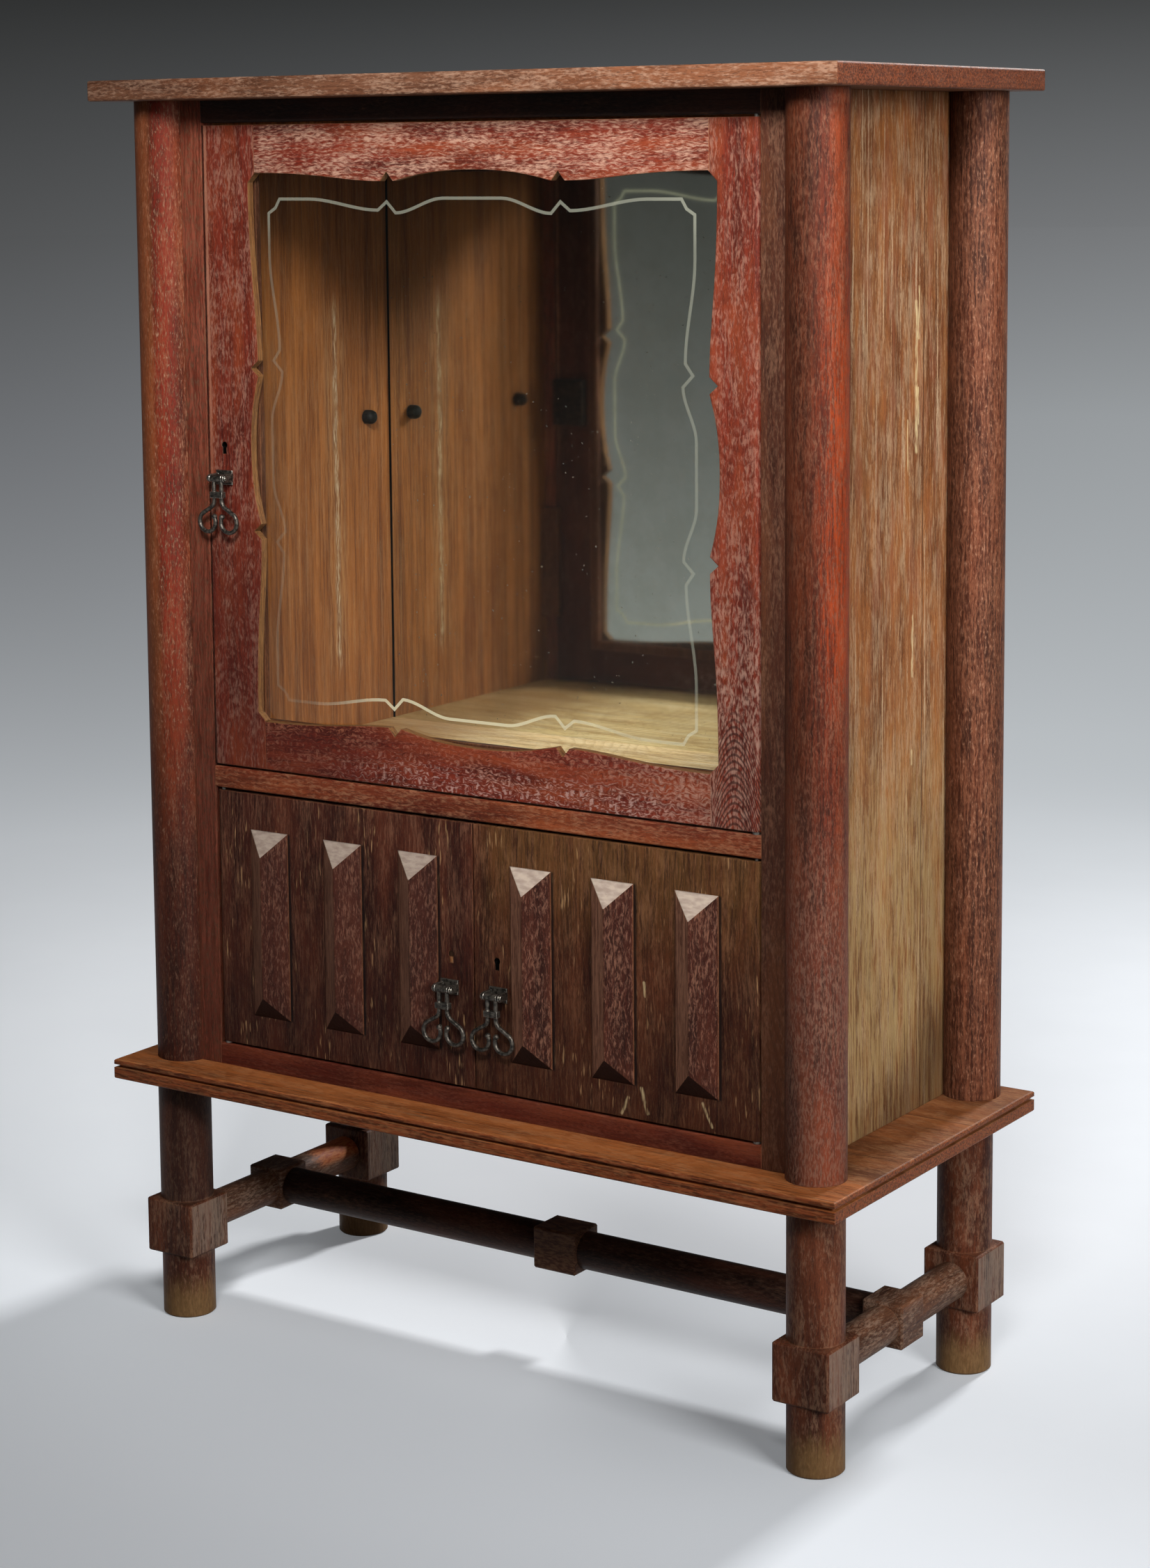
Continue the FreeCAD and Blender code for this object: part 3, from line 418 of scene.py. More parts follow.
def oak(name, lie, dark, body, warm, lime, limed=0.5, soft=0.15, fleck=(2.6, 9.5), curl=6.0, wander=10.0,
        figure=0.2, ring=6.0, pith=(20.0, 50.0), patchy=0.35, blotch=0.5, threads=0.0, gloss=0.5, wear=0.5,
        late=None):
    """Limed oak. lie turns a place in the cabinet, in millimetres, into a place in the plank: across it,
    into it and along its grain. late may change the colour once the wood is made: it gets the finish, the
    colour, the place in the cabinet, and the noise of the flecks and of the streaks."""
    f = Finish(bpy.data.materials.new(name))
    metres = f.node("ShaderNodeTexCoord", out="Object")
    place = f.split(f.node("ShaderNodeVectorMath", {"operation": "SCALE"}, {0: metres, "Scale": MM}))
    piece = f.node("ShaderNodeObjectInfo", out="Random")
    across, into, along = lie(*place)
    along = along + piece * TREE_LENGTH
    across = across + (f.fibres((across, into, along), BEND) - 0.5) * wander
    straight = across, into, along
    ripple = f.fibres(straight, RIPPLE)
    curly = across + (ripple - 0.5) * curl, into, along

    late_wood = growth_rings(f, straight, piece, ripple, ring, pith)
    broad = f.fibres(straight, BROAD)
    heat = f.fibres(straight, HEAT, HEAT_SHIFT)
    patch = f.fibres(straight, PATCH, PATCH_SHIFT)
    streak = f.fibres(curly, STREAK)
    speck = f.fibres(curly, fleck + SPECK_DETAIL)
    grit = f.fibres(curly, GRIT)
    pore = f.ease(f.fibres(curly, PORE), 0.55, 0.68)

    shade = broad * patchy + streak * (0.8 - patchy) + grit * 0.2
    colour = f.blend(f.ease(shade, 0.41, 0.58), dark, body)
    colour = f.blend(f.ease(heat + (grit - 0.5) * 0.3, 0.42, 0.7) * 0.8, colour, warm)
    colour = f.blend(late_wood * figure, colour, dark)
    powder = speck + (patch - 0.5) * blotch + (grit - 0.5) * 0.3 - late_wood * 0.05
    lime_fill = f.ease(powder, 0.55 - soft, 0.55 + soft) * limed
    if threads:
        thread = f.fibres(straight, THREAD)
        long_fill = f.ease(thread + (speck - 0.5) * 0.3 + (grit - 0.5) * 0.3, 0.6, 0.76) * threads
        lime_fill = f.node("ShaderNodeMath", {"operation": "MAXIMUM"}, {0: lime_fill, 1: long_fill})
    colour = f.blend(lime_fill, colour, lime)
    colour = f.blend(pore * 0.6, colour, dark)

    round_normal, turn = f.rounded(ARRIS_RADIUS)
    worn = f.ease(turn + (speck - 0.5) * 0.4 + (patch - 0.5) * 0.3, 0.06, 0.24) * wear
    colour = f.blend(worn, colour, RUBBED)
    if late:
        colour = late(f, colour, place, speck, streak)

    relief = (1 - lime_fill) * 0.5 + late_wood * 0.2 - pore * 0.5
    bump = f.node("ShaderNodeBump", None,
                  {"Strength": 0.5, "Distance": 0.0007, "Height": relief, "Normal": round_normal})
    return f.surface(f.node("ShaderNodeBsdfPrincipled", None, {
        "Base Color": colour, "Roughness": gloss + lime_fill * 0.2 + (streak - 0.5) * 0.2,
        "Specular IOR Level": 0.12, "Normal": bump}))


print("one millimetre is %.4f of a scene unit" % (1 / MM))

# %% [markdown]
# ## Helpers for the wood
# Every oak piece needs its four tones, the centre of its CAD piece to place the grain by, and a way to put a
# finish on. A stroke is a single mark with a start and an end. It could be a thin mesh laid on the wood, but
# a mark within the finish follows the surface and its flecks, and moves with the piece.

# %% Tones, centres and strokes
STROKE_WOBBLE = 30
STROKE_BREAK = 1.5, 18


def palette(dark, body, warm, lime):
    """The four tones of an oak: its dark streaks, its body, its warm patches and its lime."""
    return {"dark": tone(*dark), "body": tone(*body), "warm": tone(*warm), "lime": tone(*lime)}


def middle(node):
    """Centre of a CAD piece in millimetres."""
    low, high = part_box(node)
    return (low + high) * 0.5 * MM


def dress(material, *names):
    """Gives CAD pieces their finish."""
    for name in names:
        nodes[name].data.materials.clear()
        nodes[name].data.materials.append(material)


def stroke(f, across, along, start, end, half_width, speck):
    """1 on a stroke from start to end, 0 beside it. The stroke wanders a little and breaks here and there."""
    wobble = f.noise(along / STROKE_WOBBLE, start[0], 0.0, 2.0)
    broken = f.noise(across / STROKE_BREAK[0], along / STROKE_BREAK[1], start[1], 2.0)
    across = across + (wobble - 0.5) * half_width * 3
    run = Vector(end) - Vector(start)
    share = ((across - start[0]) * run.x + (along - start[1]) * run.y) / run.length_squared
    share = f.ease(share, 0.0, 1.0, "LINEAR")
    off_across = across - start[0] - share * run.x
    off_along = along - start[1] - share * run.y
    off = (off_across * off_across + off_along * off_along) ** 0.5 + (speck - 0.5) * half_width
    return f.ease(off, half_width * 1.5, half_width * 0.3) * f.ease(broken, 0.34, 0.58)


RED = palette((68, 24, 17), (113, 42, 28), (134, 61, 35), (157, 115, 97))
GOLD = palette((92, 52, 28), (134, 86, 50), (158, 98, 52), (186, 160, 128))
TURNED = palette((50, 21, 12), (94, 37, 20), (128, 56, 28), (136, 94, 71))
SHADED = palette((52, 27, 18), (80, 43, 29), (98, 56, 34), (130, 94, 72))
print("wood that several pieces share: red, golden, turned and shaded, with %d tones each" % len(RED))

# %% [markdown]
# ## Places on the glazed door
# The door's marks lie by its edges, its rails and its keyhole. Their places could be typed in, but the
# frame knows them: a box for each piece, and a box for each opening in its record.

# %% Door places
door_left, door_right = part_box("upper_lock_stile")[0] * MM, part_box("upper_hinge_stile")[1] * MM
door_x, door_half_x = (door_left.x + door_right.x) / 2, (door_right.x - door_left.x) / 2
door_half_z = (door_right.z - door_left.z) / 2
face_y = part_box("upper_hinge_stile")[0].y * MM
stile_x = (middle("upper_hinge_stile").x - middle("upper_lock_stile").x) / 2
frame_z = (middle("upper_door_top_rail").z + middle("upper_door_bottom_rail").z) / 2
openings = {opening["name"]: opening["box_m"] for opening in frame["record"]["physics"]["openings"]}
upper_key, lower_key = (sum((Vector(corner) for corner in openings[name]), Vector()) / 2 * MM
                        for name in ("upper_keyhole", "lower_keyhole"))
print("glazed door: %.0f mm wide, keyhole %.0f mm up" % (2 * door_half_x, upper_key.z))

# %% [markdown]
# ## Marks of age and painted shade on the glazed door
# The door's frame has painted shade low on the lock side and is paler low on the hinge side. Its foot is
# dusty, with a dark burr at the left, and an arched figure stands low on the hinge stile. Such marks could be
# painted on a picture, but then each piece would need one. Here a mark is a product of eased spans, pairs of
# millimetres from where it is nothing to where it is full, so its borders are soft and the grain shows through.

# %% Door marks
LOCK_SHADE_Z, LOCK_SHADE_X = (1150, 780), (0, -250)
HINGE_PALE_Z, HINGE_PALE_X = (1050, 780), (100, 320)
HINGE_DULL_X = 250, 330
DUST_RISE, DUST_LEFT_X, DUST_RIGHT_X = (44, 12), (-230, -60), (320, 200)
BURR_FOOT, BURR_HEAD, BURR_X = (40, 62), (150, 110), (-90, -200)
BURR_START, BURR_FULL = 60, 85
ARCH_X, ARCH_SAG, ARCH_PITCH = middle("upper_hinge_stile").x, 16.0, 7.5
ARCH_TOP_Z = 840, 800
ARCH_HALF_WIDTH, ARCH_FADE = 20, 10


def lock_shade_and_flecks(f, colour, place, speck):
    """Painted shade low on the lock side, and paler flecks low on the hinge side."""
    x, y, z = place
    lock_side_shade = f.ease(z, *LOCK_SHADE_Z) * f.ease(x, *LOCK_SHADE_X)
    low_right = f.ease(z, *HINGE_PALE_Z) * f.ease(x, *HINGE_PALE_X)
    # Painted shade: darker wood low on the lock side.
    colour = f.blend(lock_side_shade * 0.4, colour, tone(48, 22, 18))
    colour = f.blend(f.ease(x, *HINGE_DULL_X) * 0.12, colour, tone(58, 32, 20))
    return f.blend(low_right * f.ease(speck, 0.42, 0.6) * 0.4, colour, tone(168, 138, 122))


def dusty_foot(f, colour, place, speck):
    """Dust along the foot of the frame, and a dark burr with tan flecks at the left of the foot rail."""
    x, y, z = place
    above_foot = z - door_left.z
    dusty = f.ease(above_foot, *DUST_RISE) * f.ease(x, *DUST_LEFT_X) * f.ease(x, *DUST_RIGHT_X)
    colour = f.blend(dusty * f.ease(speck, 0.5, 0.62) * 0.5, colour, tone(186, 156, 148))
    burr = f.ease(above_foot, *BURR_FOOT) * f.ease(above_foot, *BURR_HEAD) * f.ease(x, *BURR_X)
    burr = burr * f.ease(x, door_left.x + BURR_START, door_left.x + BURR_FULL)
    colour = f.blend(burr * f.ease(speck, 0.5, 0.38) * 0.65, colour, tone(46, 18, 11))
    return f.blend(burr * f.ease(speck, 0.52, 0.62) * 0.4, colour, tone(152, 88, 58))


def arched_figure(f, colour, place, speck):
    """Dark arches one above the other, low on the hinge stile."""
    x, y, z = place
    arch = z + (x - ARCH_X) * (x - ARCH_X) / ARCH_SAG
    ring = f.ease(abs((arch / ARCH_PITCH + speck * 0.5) % 1.0 - 0.5), 0.3, 0.1) * f.ease(arch, *ARCH_TOP_Z)
    on_stile = f.ease(x, ARCH_X - ARCH_HALF_WIDTH - ARCH_FADE, ARCH_X - ARCH_HALF_WIDTH)
    return f.blend(ring * on_stile * 0.75, colour, tone(44, 18, 14))


print("arches %.1f mm apart on the hinge stile" % ARCH_PITCH)

# %% [markdown]
# ## The glazed door's frame
# The frame of the upper door is the reddest wood, thick with curly flecks of lime. Its stiles stand and its
# rails lie, so their grain runs up or along. One recipe with two directions keeps them alike, and each piece
# draws its own number, so no two are cut from the same place in the tree. The sawn edges round the glass
# were never stained, and the back is darker: they are told apart by the way they face. Painted shade, near
# black, fills the keyhole and the gap beside the case, which are too narrow for the light.

# %% Door frame
# Painted shade, near black, for the gap beside the case.
GAP_SHADE = tone(16, 9, 7)
# Painted shade, near black, for the insides of keyholes.
HOLE_SHADE = tone(8, 6, 5)
GAP_SHADE_WIDTH = 2.2, 1.0
KEY_REACH, KEY_FADE = 12.0, 4.0
RIM, RIM_FADE = 4, 8
RUB_INSET, RUB_WIDTH, RUB_Z = 4, (2.6, 0.8), (900, 1200)


def near_key(f, place, hole):
    """1 round a keyhole, 0 farther off."""
    near_x = f.ease(abs(place[0] - hole.x), KEY_REACH + KEY_FADE, KEY_REACH)
    return near_x * f.ease(abs(place[2] - hole.z), KEY_REACH + KEY_FADE, KEY_REACH)


def door_gap_shade(f, place, speck):
    """Painted shade in the dark gap between the lock stile and the case."""
    return f.ease(abs(place[0] - door_left.x) + (speck - 0.5) * 1.5, *GAP_SHADE_WIDTH)


def old_door(f, colour, place, speck, streak):
    """A darker brown back, marks of age and painted shade, a rubbed lock edge, painted shade in the gap and the
    keyhole, and straw-coloured sawn edges.
    """
    x, y, z = place
    look_y = f.facing()[1]
    colour = f.blend(f.ease(look_y, 0.4, 0.7) * 0.7, colour, tone(46, 27, 20))
    for mark in (lock_shade_and_flecks, dusty_foot, arched_figure):
        colour = mark(f, colour, place, speck)
    rub = f.ease(abs(x - door_left.x - RUB_INSET) + (speck - 0.5) * 9, *RUB_WIDTH) * f.ease(z, *RUB_Z)
    colour = f.blend(rub * 0.5, colour, tone(176, 124, 98))
    # Painted shade in the gap beside the case.
    colour = f.blend(door_gap_shade(f, place, speck) * 0.85, colour, GAP_SHADE)
    sideways = f.ease(abs(look_y), 0.7, 0.4)
    by_key = near_key(f, place, upper_key)
    # Painted shade, near black, on the walls of the keyhole.
    colour = f.blend(sideways * by_key, colour, HOLE_SHADE)
    inside_x = f.ease(abs(x - door_x), door_half_x - RIM, door_half_x - RIM - RIM_FADE)
    inside_z = f.ease(abs(z - frame_z), door_half_z - RIM, door_half_z - RIM - RIM_FADE)
    bare = f.blend(f.ease(streak, 0.3, 0.7), tone(80, 51, 27), tone(126, 91, 52))
    return f.blend(sideways * inside_x * inside_z * (1 - by_key) * 0.85, colour, bare)


def lying(x, y, z):
    """Grain along a rail of the front."""
    return z, y - face_y, x


door_stile = oak("red_oak_stile", lambda x, y, z: (abs(x) - stile_x, y - face_y, z), limed=0.55, soft=0.12,
                 late=old_door, **RED)
top_rail = oak("red_oak_top_rail", lying, limed=0.9, soft=0.17, fleck=(2.0, 9.0), wear=1.0,
               late=old_door, **{**RED, "lime": tone(180, 141, 120)})
foot_rail = oak("red_oak_foot_rail", lying, limed=0.62, soft=0.09, fleck=(2.4, 6.5), curl=16.0, blotch=0.35,
                late=old_door, **{**RED, "lime": tone(154, 98, 78)})
dress(door_stile, "upper_lock_stile", "upper_hinge_stile")
dress(top_rail, "upper_door_top_rail")
dress(foot_rail, "upper_door_bottom_rail")
print("door frame: stiles %.0f mm from the middle" % stile_x)

# %% [markdown]
# ## Painted shade and marks of age on turned wood
# Painted shade darkens the turned wood towards the lower left, and the columns on the right have painted shade
# on the front. The masks for right and rear are made once, by the caller, and handed to each mark: asking for
# the place again in every function would only add nodes.

# %% Marks on turned wood
BLOCK_TOP, BLOCK_FADE = 147.0, 3
LOWER_LEFT_SHADE_Z, LOWER_LEFT_SHADE_X = (1050, 450), (100, -300)
FRONT_SHADE_Z, GREY_Z = (500, 850), (800, 520)


def lower_left_shade(f, colour, place):
    """Painted shade on turned wood towards the lower left, down to the blocks of the legs."""
    x, y, z = place
    above_block = f.ease(z, BLOCK_TOP - BLOCK_FADE, BLOCK_TOP + BLOCK_FADE)
    # Painted shade towards the lower left.
    return f.blend(f.ease(z, *LOWER_LEFT_SHADE_Z) * f.ease(x, *LOWER_LEFT_SHADE_X) * above_block * 0.6, colour, tone(34, 21, 17))


def umber_and_flecks(f, colour, on_right, at_rear, speck, streak):
    """An umber rear column on the right, and dark and pale flecks on all but the one before it."""
    flecked = 1 - on_right * (1 - at_rear)
    umber = f.blend(f.ease(speck * 0.4 + streak * 0.6, 0.4, 0.6), tone(50, 28, 19), tone(120, 78, 55))
    colour = f.blend(on_right * at_rear * 0.65, colour, umber)
    colour = f.blend(f.ease(speck, 0.42, 0.3) * flecked * 0.4, colour, tone(44, 18, 11))
    return f.blend(f.ease(speck, 0.58, 0.7) * flecked * 0.4, colour, tone(174, 134, 110))


def front_shade_and_grey(f, colour, z, on_right, at_rear, look_x, speck, streak):
    """Painted shade on the front of the columns on the right, and greyed flecks low on the one at the front."""
    front_shade = f.ease(look_x, 0.85, 0.1) * on_right * (0.35 + f.ease(z, *FRONT_SHADE_Z) * 0.3)
    shade_tone = f.blend(f.ease(speck * 0.5 + streak * 0.5, 0.38, 0.62), tone(36, 17, 9), tone(68, 36, 21))
    # Painted shade on the front of the columns on the right.
    colour = f.blend(front_shade, colour, shade_tone)
    greyed = on_right * (1 - at_rear) * f.ease(z, *GREY_Z) * (0.1 + f.ease(speck, 0.45, 0.6) * 0.3)
    return f.blend(greyed, colour, tone(132, 102, 88))


print("painted_shade: none above %.0f mm, full at %.0f mm" % LOWER_LEFT_SHADE_Z)

# %% [markdown]
# ## Columns
# Columns are turned from billets with the pith near the middle, which gives long pointed figures. Each of the
# four differs in its own way: the front right one has painted shade in front and a painted orange highlight
# on its sunny side, the rear right one is umber, and the front left one is ruddy and tawny. Four materials
# would do, but one recipe with soft masks for left, right and rear keeps the same wood under every change.

# %% Columns
TO_RIGHT, TO_LEFT, TO_REAR = (0, 300), (0, -300), (-100, 100)
RUDDY_Z = 550, 950
HIGHLIGHT_Z, HIGHLIGHT_REACH = 1050, (330, 90)
CORNERS = [f"{end}_{side}" for end in ("front", "rear") for side in ("left", "right")]
column_x = middle("column_front_right").x
column_y = (middle("column_rear_right").y - middle("column_front_right").y) / 2
column_mid_y = (middle("column_rear_right").y + middle("column_front_right").y) / 2


def old_columns(f, colour, place, speck, streak):
    """The changes of all four columns, told apart by where they stand and the way they face."""
    x, y, z = place
    on_right, on_left, at_rear = f.ease(x, *TO_RIGHT), f.ease(x, *TO_LEFT), f.ease(y, *TO_REAR)
    look_x = f.facing()[0] + at_rear * 0.3 + (streak - 0.5) * 0.3
    between_flecks = f.ease(speck, 0.62, 0.38)
    colour = umber_and_flecks(f, colour, on_right, at_rear, speck, streak)
    colour = lower_left_shade(f, colour, place)
    colour = front_shade_and_grey(f, colour, z, on_right, at_rear, look_x, speck, streak)
    upper_left = on_left * (1 - at_rear) * f.ease(z, *RUDDY_Z)
    ruddy = f.ease(look_x, 0.1, 0.35) * f.ease(look_x, 0.95, 0.75) * upper_left
    colour = f.blend(ruddy * between_flecks * 0.55, colour, tone(128, 38, 27))
    colour = f.blend(f.ease(look_x, 0.3, 0.0) * upper_left * 0.35, colour, tone(156, 90, 52))
    # Painted highlight: orange on the sunny side of the front right column.
    painted_highlight = f.ease(look_x, 0.25, 0.8) * on_right * (1 - at_rear) * f.ease(abs(z - HIGHLIGHT_Z), *HIGHLIGHT_REACH)
    highlight_tone = f.blend(f.ease(look_x * 0.35 + streak * 0.65, 0.48, 0.78), tone(82, 26, 10), tone(150, 56, 16))
    return f.blend(painted_highlight * (0.2 + between_flecks * 0.55), colour, highlight_tone)


columns = oak("red_oak_column", lambda x, y, z: (abs(x) - column_x, abs(y - column_mid_y) - column_y, z),
              ring=5.0, pith=(8.0, 14.0), limed=0.5, fleck=(1.8, 7.0), patchy=0.2, blotch=0.35,
              late=old_columns, **TURNED)
dress(columns, *("column_" + corner for corner in CORNERS))
print("columns %.0f mm from the middle" % column_x)

# %% [markdown]
# ## Front stiles and rails of the case
# The rail above the glazed door lies in shade under the top board, and its near-black tones are painted
# shade. The middle rail is flecked, and the rail at the foot of the case is smooth and deep red. The left
# stile is redder than the right one, the right one is a little darker all over, and both carry painted shade
# towards the foot. They share the recipe and differ in their tones.

# %% Stiles and rails of the case
STILE_SHADE_Z = 1300, 600


def shade_to_foot(f, colour, place, speck, streak):
    """Case stiles: the left one is redder, the right one a little darker, both carry painted shade towards the
    foot, and painted shade marks the gap beside the door.
    """
    on_left = f.ease(place[0], *TO_LEFT)
    reddened = f.blend(f.ease(streak, 0.38, 0.62), tone(104, 42, 28), tone(152, 80, 60))
    colour = f.blend(on_left * f.ease(speck, 0.68, 0.42) * 0.75, colour, reddened)
    # Painted shade towards the foot of both stiles, and a darker tone over the right one.
    dim = 0.14 - on_left * 0.14 + f.ease(place[2], *STILE_SHADE_Z) * (0.15 + on_left * 0.3)
    colour = f.blend(dim, colour, tone(40, 23, 17))
    # Painted shade in the gap beside the door.
    return f.blend(door_gap_shade(f, place, speck) * 0.85, colour, GAP_SHADE)


case_stile = oak("brown_oak_stile", lambda x, y, z: (abs(x) - column_x, y - face_y, z), limed=0.5,
                 late=shade_to_foot, **SHADED)
# Painted shade: near-black tones for the rail that lies under the top board.
high_rail = oak("painted_shade_oak_rail", lying, limed=0.2,
                **palette((22, 13, 10), (36, 20, 14), (54, 28, 19), (76, 54, 42)))
middle_rail = oak("brown_oak_rail", lying, limed=0.5, wear=0.9,
                  **palette((66, 26, 16), (105, 45, 27), (142, 73, 41), (162, 116, 86)))
low_rail = oak("dark_red_rail", lying, limed=0.3, curl=3.0, wear=0.9,
               **palette((62, 24, 16), (84, 34, 23), (120, 60, 37), (118, 72, 56)))
dress(case_stile, "front_stile_left", "front_stile_right")
dress(high_rail, "frieze_rail")
dress(middle_rail, "middle_rail")
dress(low_rail, "bottom_rail")
print("case: two stiles and three rails")

# %% [markdown]
# ## Legs
# The legs are turned like the columns, with the same painted shade towards the lower left. Their feet have
# lost their stain and show a worn straw colour, and the square blocks carry a pale painted sheen on the
# right. Separate materials for each patch would need cuts in the mesh, so the recipe ends with a wash near the
# floor and a span for the block.

# %% Legs
WORN_FOOT, FOOT_ABOVE, FOOT_BELOW = 48.0, 12, 30
BLOCK_FOOT_Z = 70, 90
leg_x = middle("leg_front_right").x
leg_y = middle("leg_rear_right").y


def worn_feet(f, colour, place, speck, streak):
    """Bare straw-coloured wood where the stain has gone from the foot of a leg, painted shade towards the lower
    left, and a pale painted sheen on the right face of the block.
    """
    x, y, z = place
    bare = f.ease(z + (streak - 0.5) * 60, WORN_FOOT + FOOT_ABOVE, WORN_FOOT - FOOT_BELOW)
    colour = lower_left_shade(f, colour, place)
    below_top = f.ease(z, BLOCK_TOP + BLOCK_FADE, BLOCK_TOP - BLOCK_FADE)
    # Painted sheen, pale and greyish, on the right face of the block.
    block_sheen = f.ease(f.facing()[0], 0.7, 0.95) * below_top * f.ease(z, *BLOCK_FOOT_Z)
    colour = f.blend(block_sheen * f.ease(streak, 0.3, 0.6) * 0.5, colour, tone(156, 138, 122))
    return f.blend(bare * 0.75, colour, f.blend(speck, tone(92, 67, 40), tone(152, 118, 76)))


legs = oak("brown_oak_leg", lambda x, y, z: (abs(x) - leg_x, abs(y) - leg_y, z), ring=5.0, pith=(8.0, 14.0),
           limed=0.45, late=worn_feet, **palette((52, 25, 16), (86, 45, 28), (118, 64, 40), (152, 118, 94)))
dress(legs, *("leg_" + corner for corner in CORNERS))
print("feet worn to %.0f mm" % WORN_FOOT)

# %% [markdown]
# ## Stretchers
# The side stretchers are greyish, a painted sheen, and the left one carries a painted orange highlight
# behind, where the back lamp strikes its top. The long stretcher is almost black, and its middle block kept
# more of its brown. A patch could be a thin shell over the wood, but a blend within the finish keeps the grain
# running through it.

# %% Stretchers
BACK_LIGHT_Y, BACK_LIGHT_X = (50, 75), (0, -100)
LONG_BLOCK_HALF = 31.0, 29.5


def back_light_highlight(f, colour, place, speck, streak):
    """A painted orange highlight on top of the rear half of the left stretcher, where the back lamp strikes it.
    """
    x, y, z = place
    on_top = f.ease(f.facing()[2], 0.0, 0.5)
    rubbed = f.ease(y + (speck - 0.5) * 40, *BACK_LIGHT_Y) * f.ease(x, *BACK_LIGHT_X) * on_top
    orange = f.blend(f.ease(speck, 0.35, 0.6), tone(168, 78, 38), tone(196, 116, 66))
    # Painted highlight from the back lamp.
    return f.blend(rubbed * 0.85, colour, orange)


def browner_block(f, colour, place, speck, streak):
    """The square block half-way along, which kept more of its brown."""
    brown = f.blend(f.ease(speck, 0.4, 0.62), tone(74, 42, 28), tone(128, 92, 68))
    return f.blend(f.ease(abs(place[0]), *LONG_BLOCK_HALF) * 0.6, colour, brown)


def lengthwise(x, y, z):
    """Grain along a level piece, from side to side of the cabinet."""
    return y, z, x


# Painted sheen: the side stretchers have greyish tones that stand for a sheen.
side_bars = oak("sheen_grey_oak_side_stretcher", lambda x, y, z: (abs(x) - leg_x, z, y), limed=0.5,
                late=back_light_highlight, **palette((60, 36, 25), (96, 64, 46), (126, 80, 54), (166, 140, 120)))
long_bar = oak("black_oak_long_stretcher", lengthwise, limed=0.3, late=browner_block,
               **palette((28, 16, 12), (54, 32, 24), (80, 44, 30), (106, 80, 64)))
dress(side_bars, "side_stretcher_left", "side_stretcher_right")
dress(long_bar, "long_stretcher")
print("long stretcher: a block %.0f mm wide" % (2 * LONG_BLOCK_HALF[1]))

# %% [markdown]
# ## Boards
# The top board and the mid board are each glued up from three planks. Three meshes would do, but the CAD
# board is one solid, so the remainder of the depth by the width of a plank places each plank's own grain, and
# a fine dark line marks the glue. The top board is limed and brown. The mid board is a smooth orange brown
# whose edges took more stain, with a painted highlight along its front lip before the doors.

# %% Top and mid boards
PLANK = 158.4
PLANK_STEP = 7.3
GLUE_LINE, GLUE_WIDTH = tone(44, 25, 17), (1.2, 0.4)
LIP_HIGHLIGHT_DEPTH = 25
BESIDE_START, BESIDE_FULL = 40, 20


def glued(f, colour, place, speck):
    """The fine dark lines where the planks of a board meet."""
    off = abs(abs(place[1]) - PLANK / 2) + (speck - 0.5) * 1.2
    return f.blend(f.ease(off, *GLUE_WIDTH) * 0.6, colour, GLUE_LINE)


def stained_edges(f, colour, place, speck, streak):
    """Edges of the mid board, darker and redder than its faces, and a painted highlight along its front lip
    before the doors.
    """
    look_z = f.facing()[2]
    colour = glued(f, colour, place, speck)
    lip_highlight = f.ease(place[1], face_y + LIP_HIGHLIGHT_DEPTH, face_y) * f.ease(look_z, 0.5, 0.8)
    # Painted highlight along the front lip of the mid board.
    colour = f.blend(lip_highlight * f.ease(streak, 0.3, 0.65) * 0.42, colour, tone(190, 106, 50))
    beside = f.ease(abs(place[0]), column_x - BESIDE_START, column_x - BESIDE_FULL) * (1 - lip_highlight)
    colour = f.blend(beside * 0.3, colour, tone(84, 50, 30))
    edge = f.ease(abs(look_z), 0.8, 0.5)
    stain = f.blend(f.ease(streak, 0.4, 0.6), tone(70, 31, 15), tone(136, 68, 37))
    stain = f.blend(f.ease(speck, 0.45, 0.65) * 0.35, stain, tone(170, 114, 72))
    return f.blend(edge * 0.8, colour, stain)


def stained_ends(f, colour, place, speck, streak):
    """Ends of the top board, where the end grain drank the stain."""
    colour = glued(f, colour, place, speck)
    end = f.ease(abs(f.facing()[0]), 0.5, 0.8)
    stain = f.blend(f.ease(streak, 0.4, 0.62), tone(70, 31, 16), tone(122, 62, 34))
    return f.blend(end * 0.82, colour, stain)


def plank_lie(x, y, z):
    """Planks side by side, each cut from another place along the tree."""
    from_front = y + PLANK * 1.5
    within = from_front % PLANK
    return within - PLANK / 2, z, x + (from_front - within) * PLANK_STEP


top_boards = oak("brown_oak_top_board", plank_lie, limed=0.55, late=stained_ends,
                 **palette((70, 42, 28), (106, 69, 49), (126, 78, 52), (164, 132, 110)))
mid_boards = oak("orange_oak_mid_board", plank_lie, limed=0.45, fleck=(2.2, 14.0), curl=4.0, wear=0.8,
                 late=stained_edges, **palette((82, 43, 22), (136, 80, 44), (158, 94, 50), (178, 134, 94)))
dress(top_boards, "top_board")
dress(mid_boards, "mid_board")
print("boards of three %.0f mm planks" % PLANK)

# %% [markdown]
# ## Two sides of a wall
# Outside, the walls are tinted above, yellowed below and soiled at the foot. Inside they are oiled, with a
# broken streak of chalk on the left one. Two shells could carry two materials, but a wall is one solid, so
# each side is a function that is given the mask of the faces it belongs to.

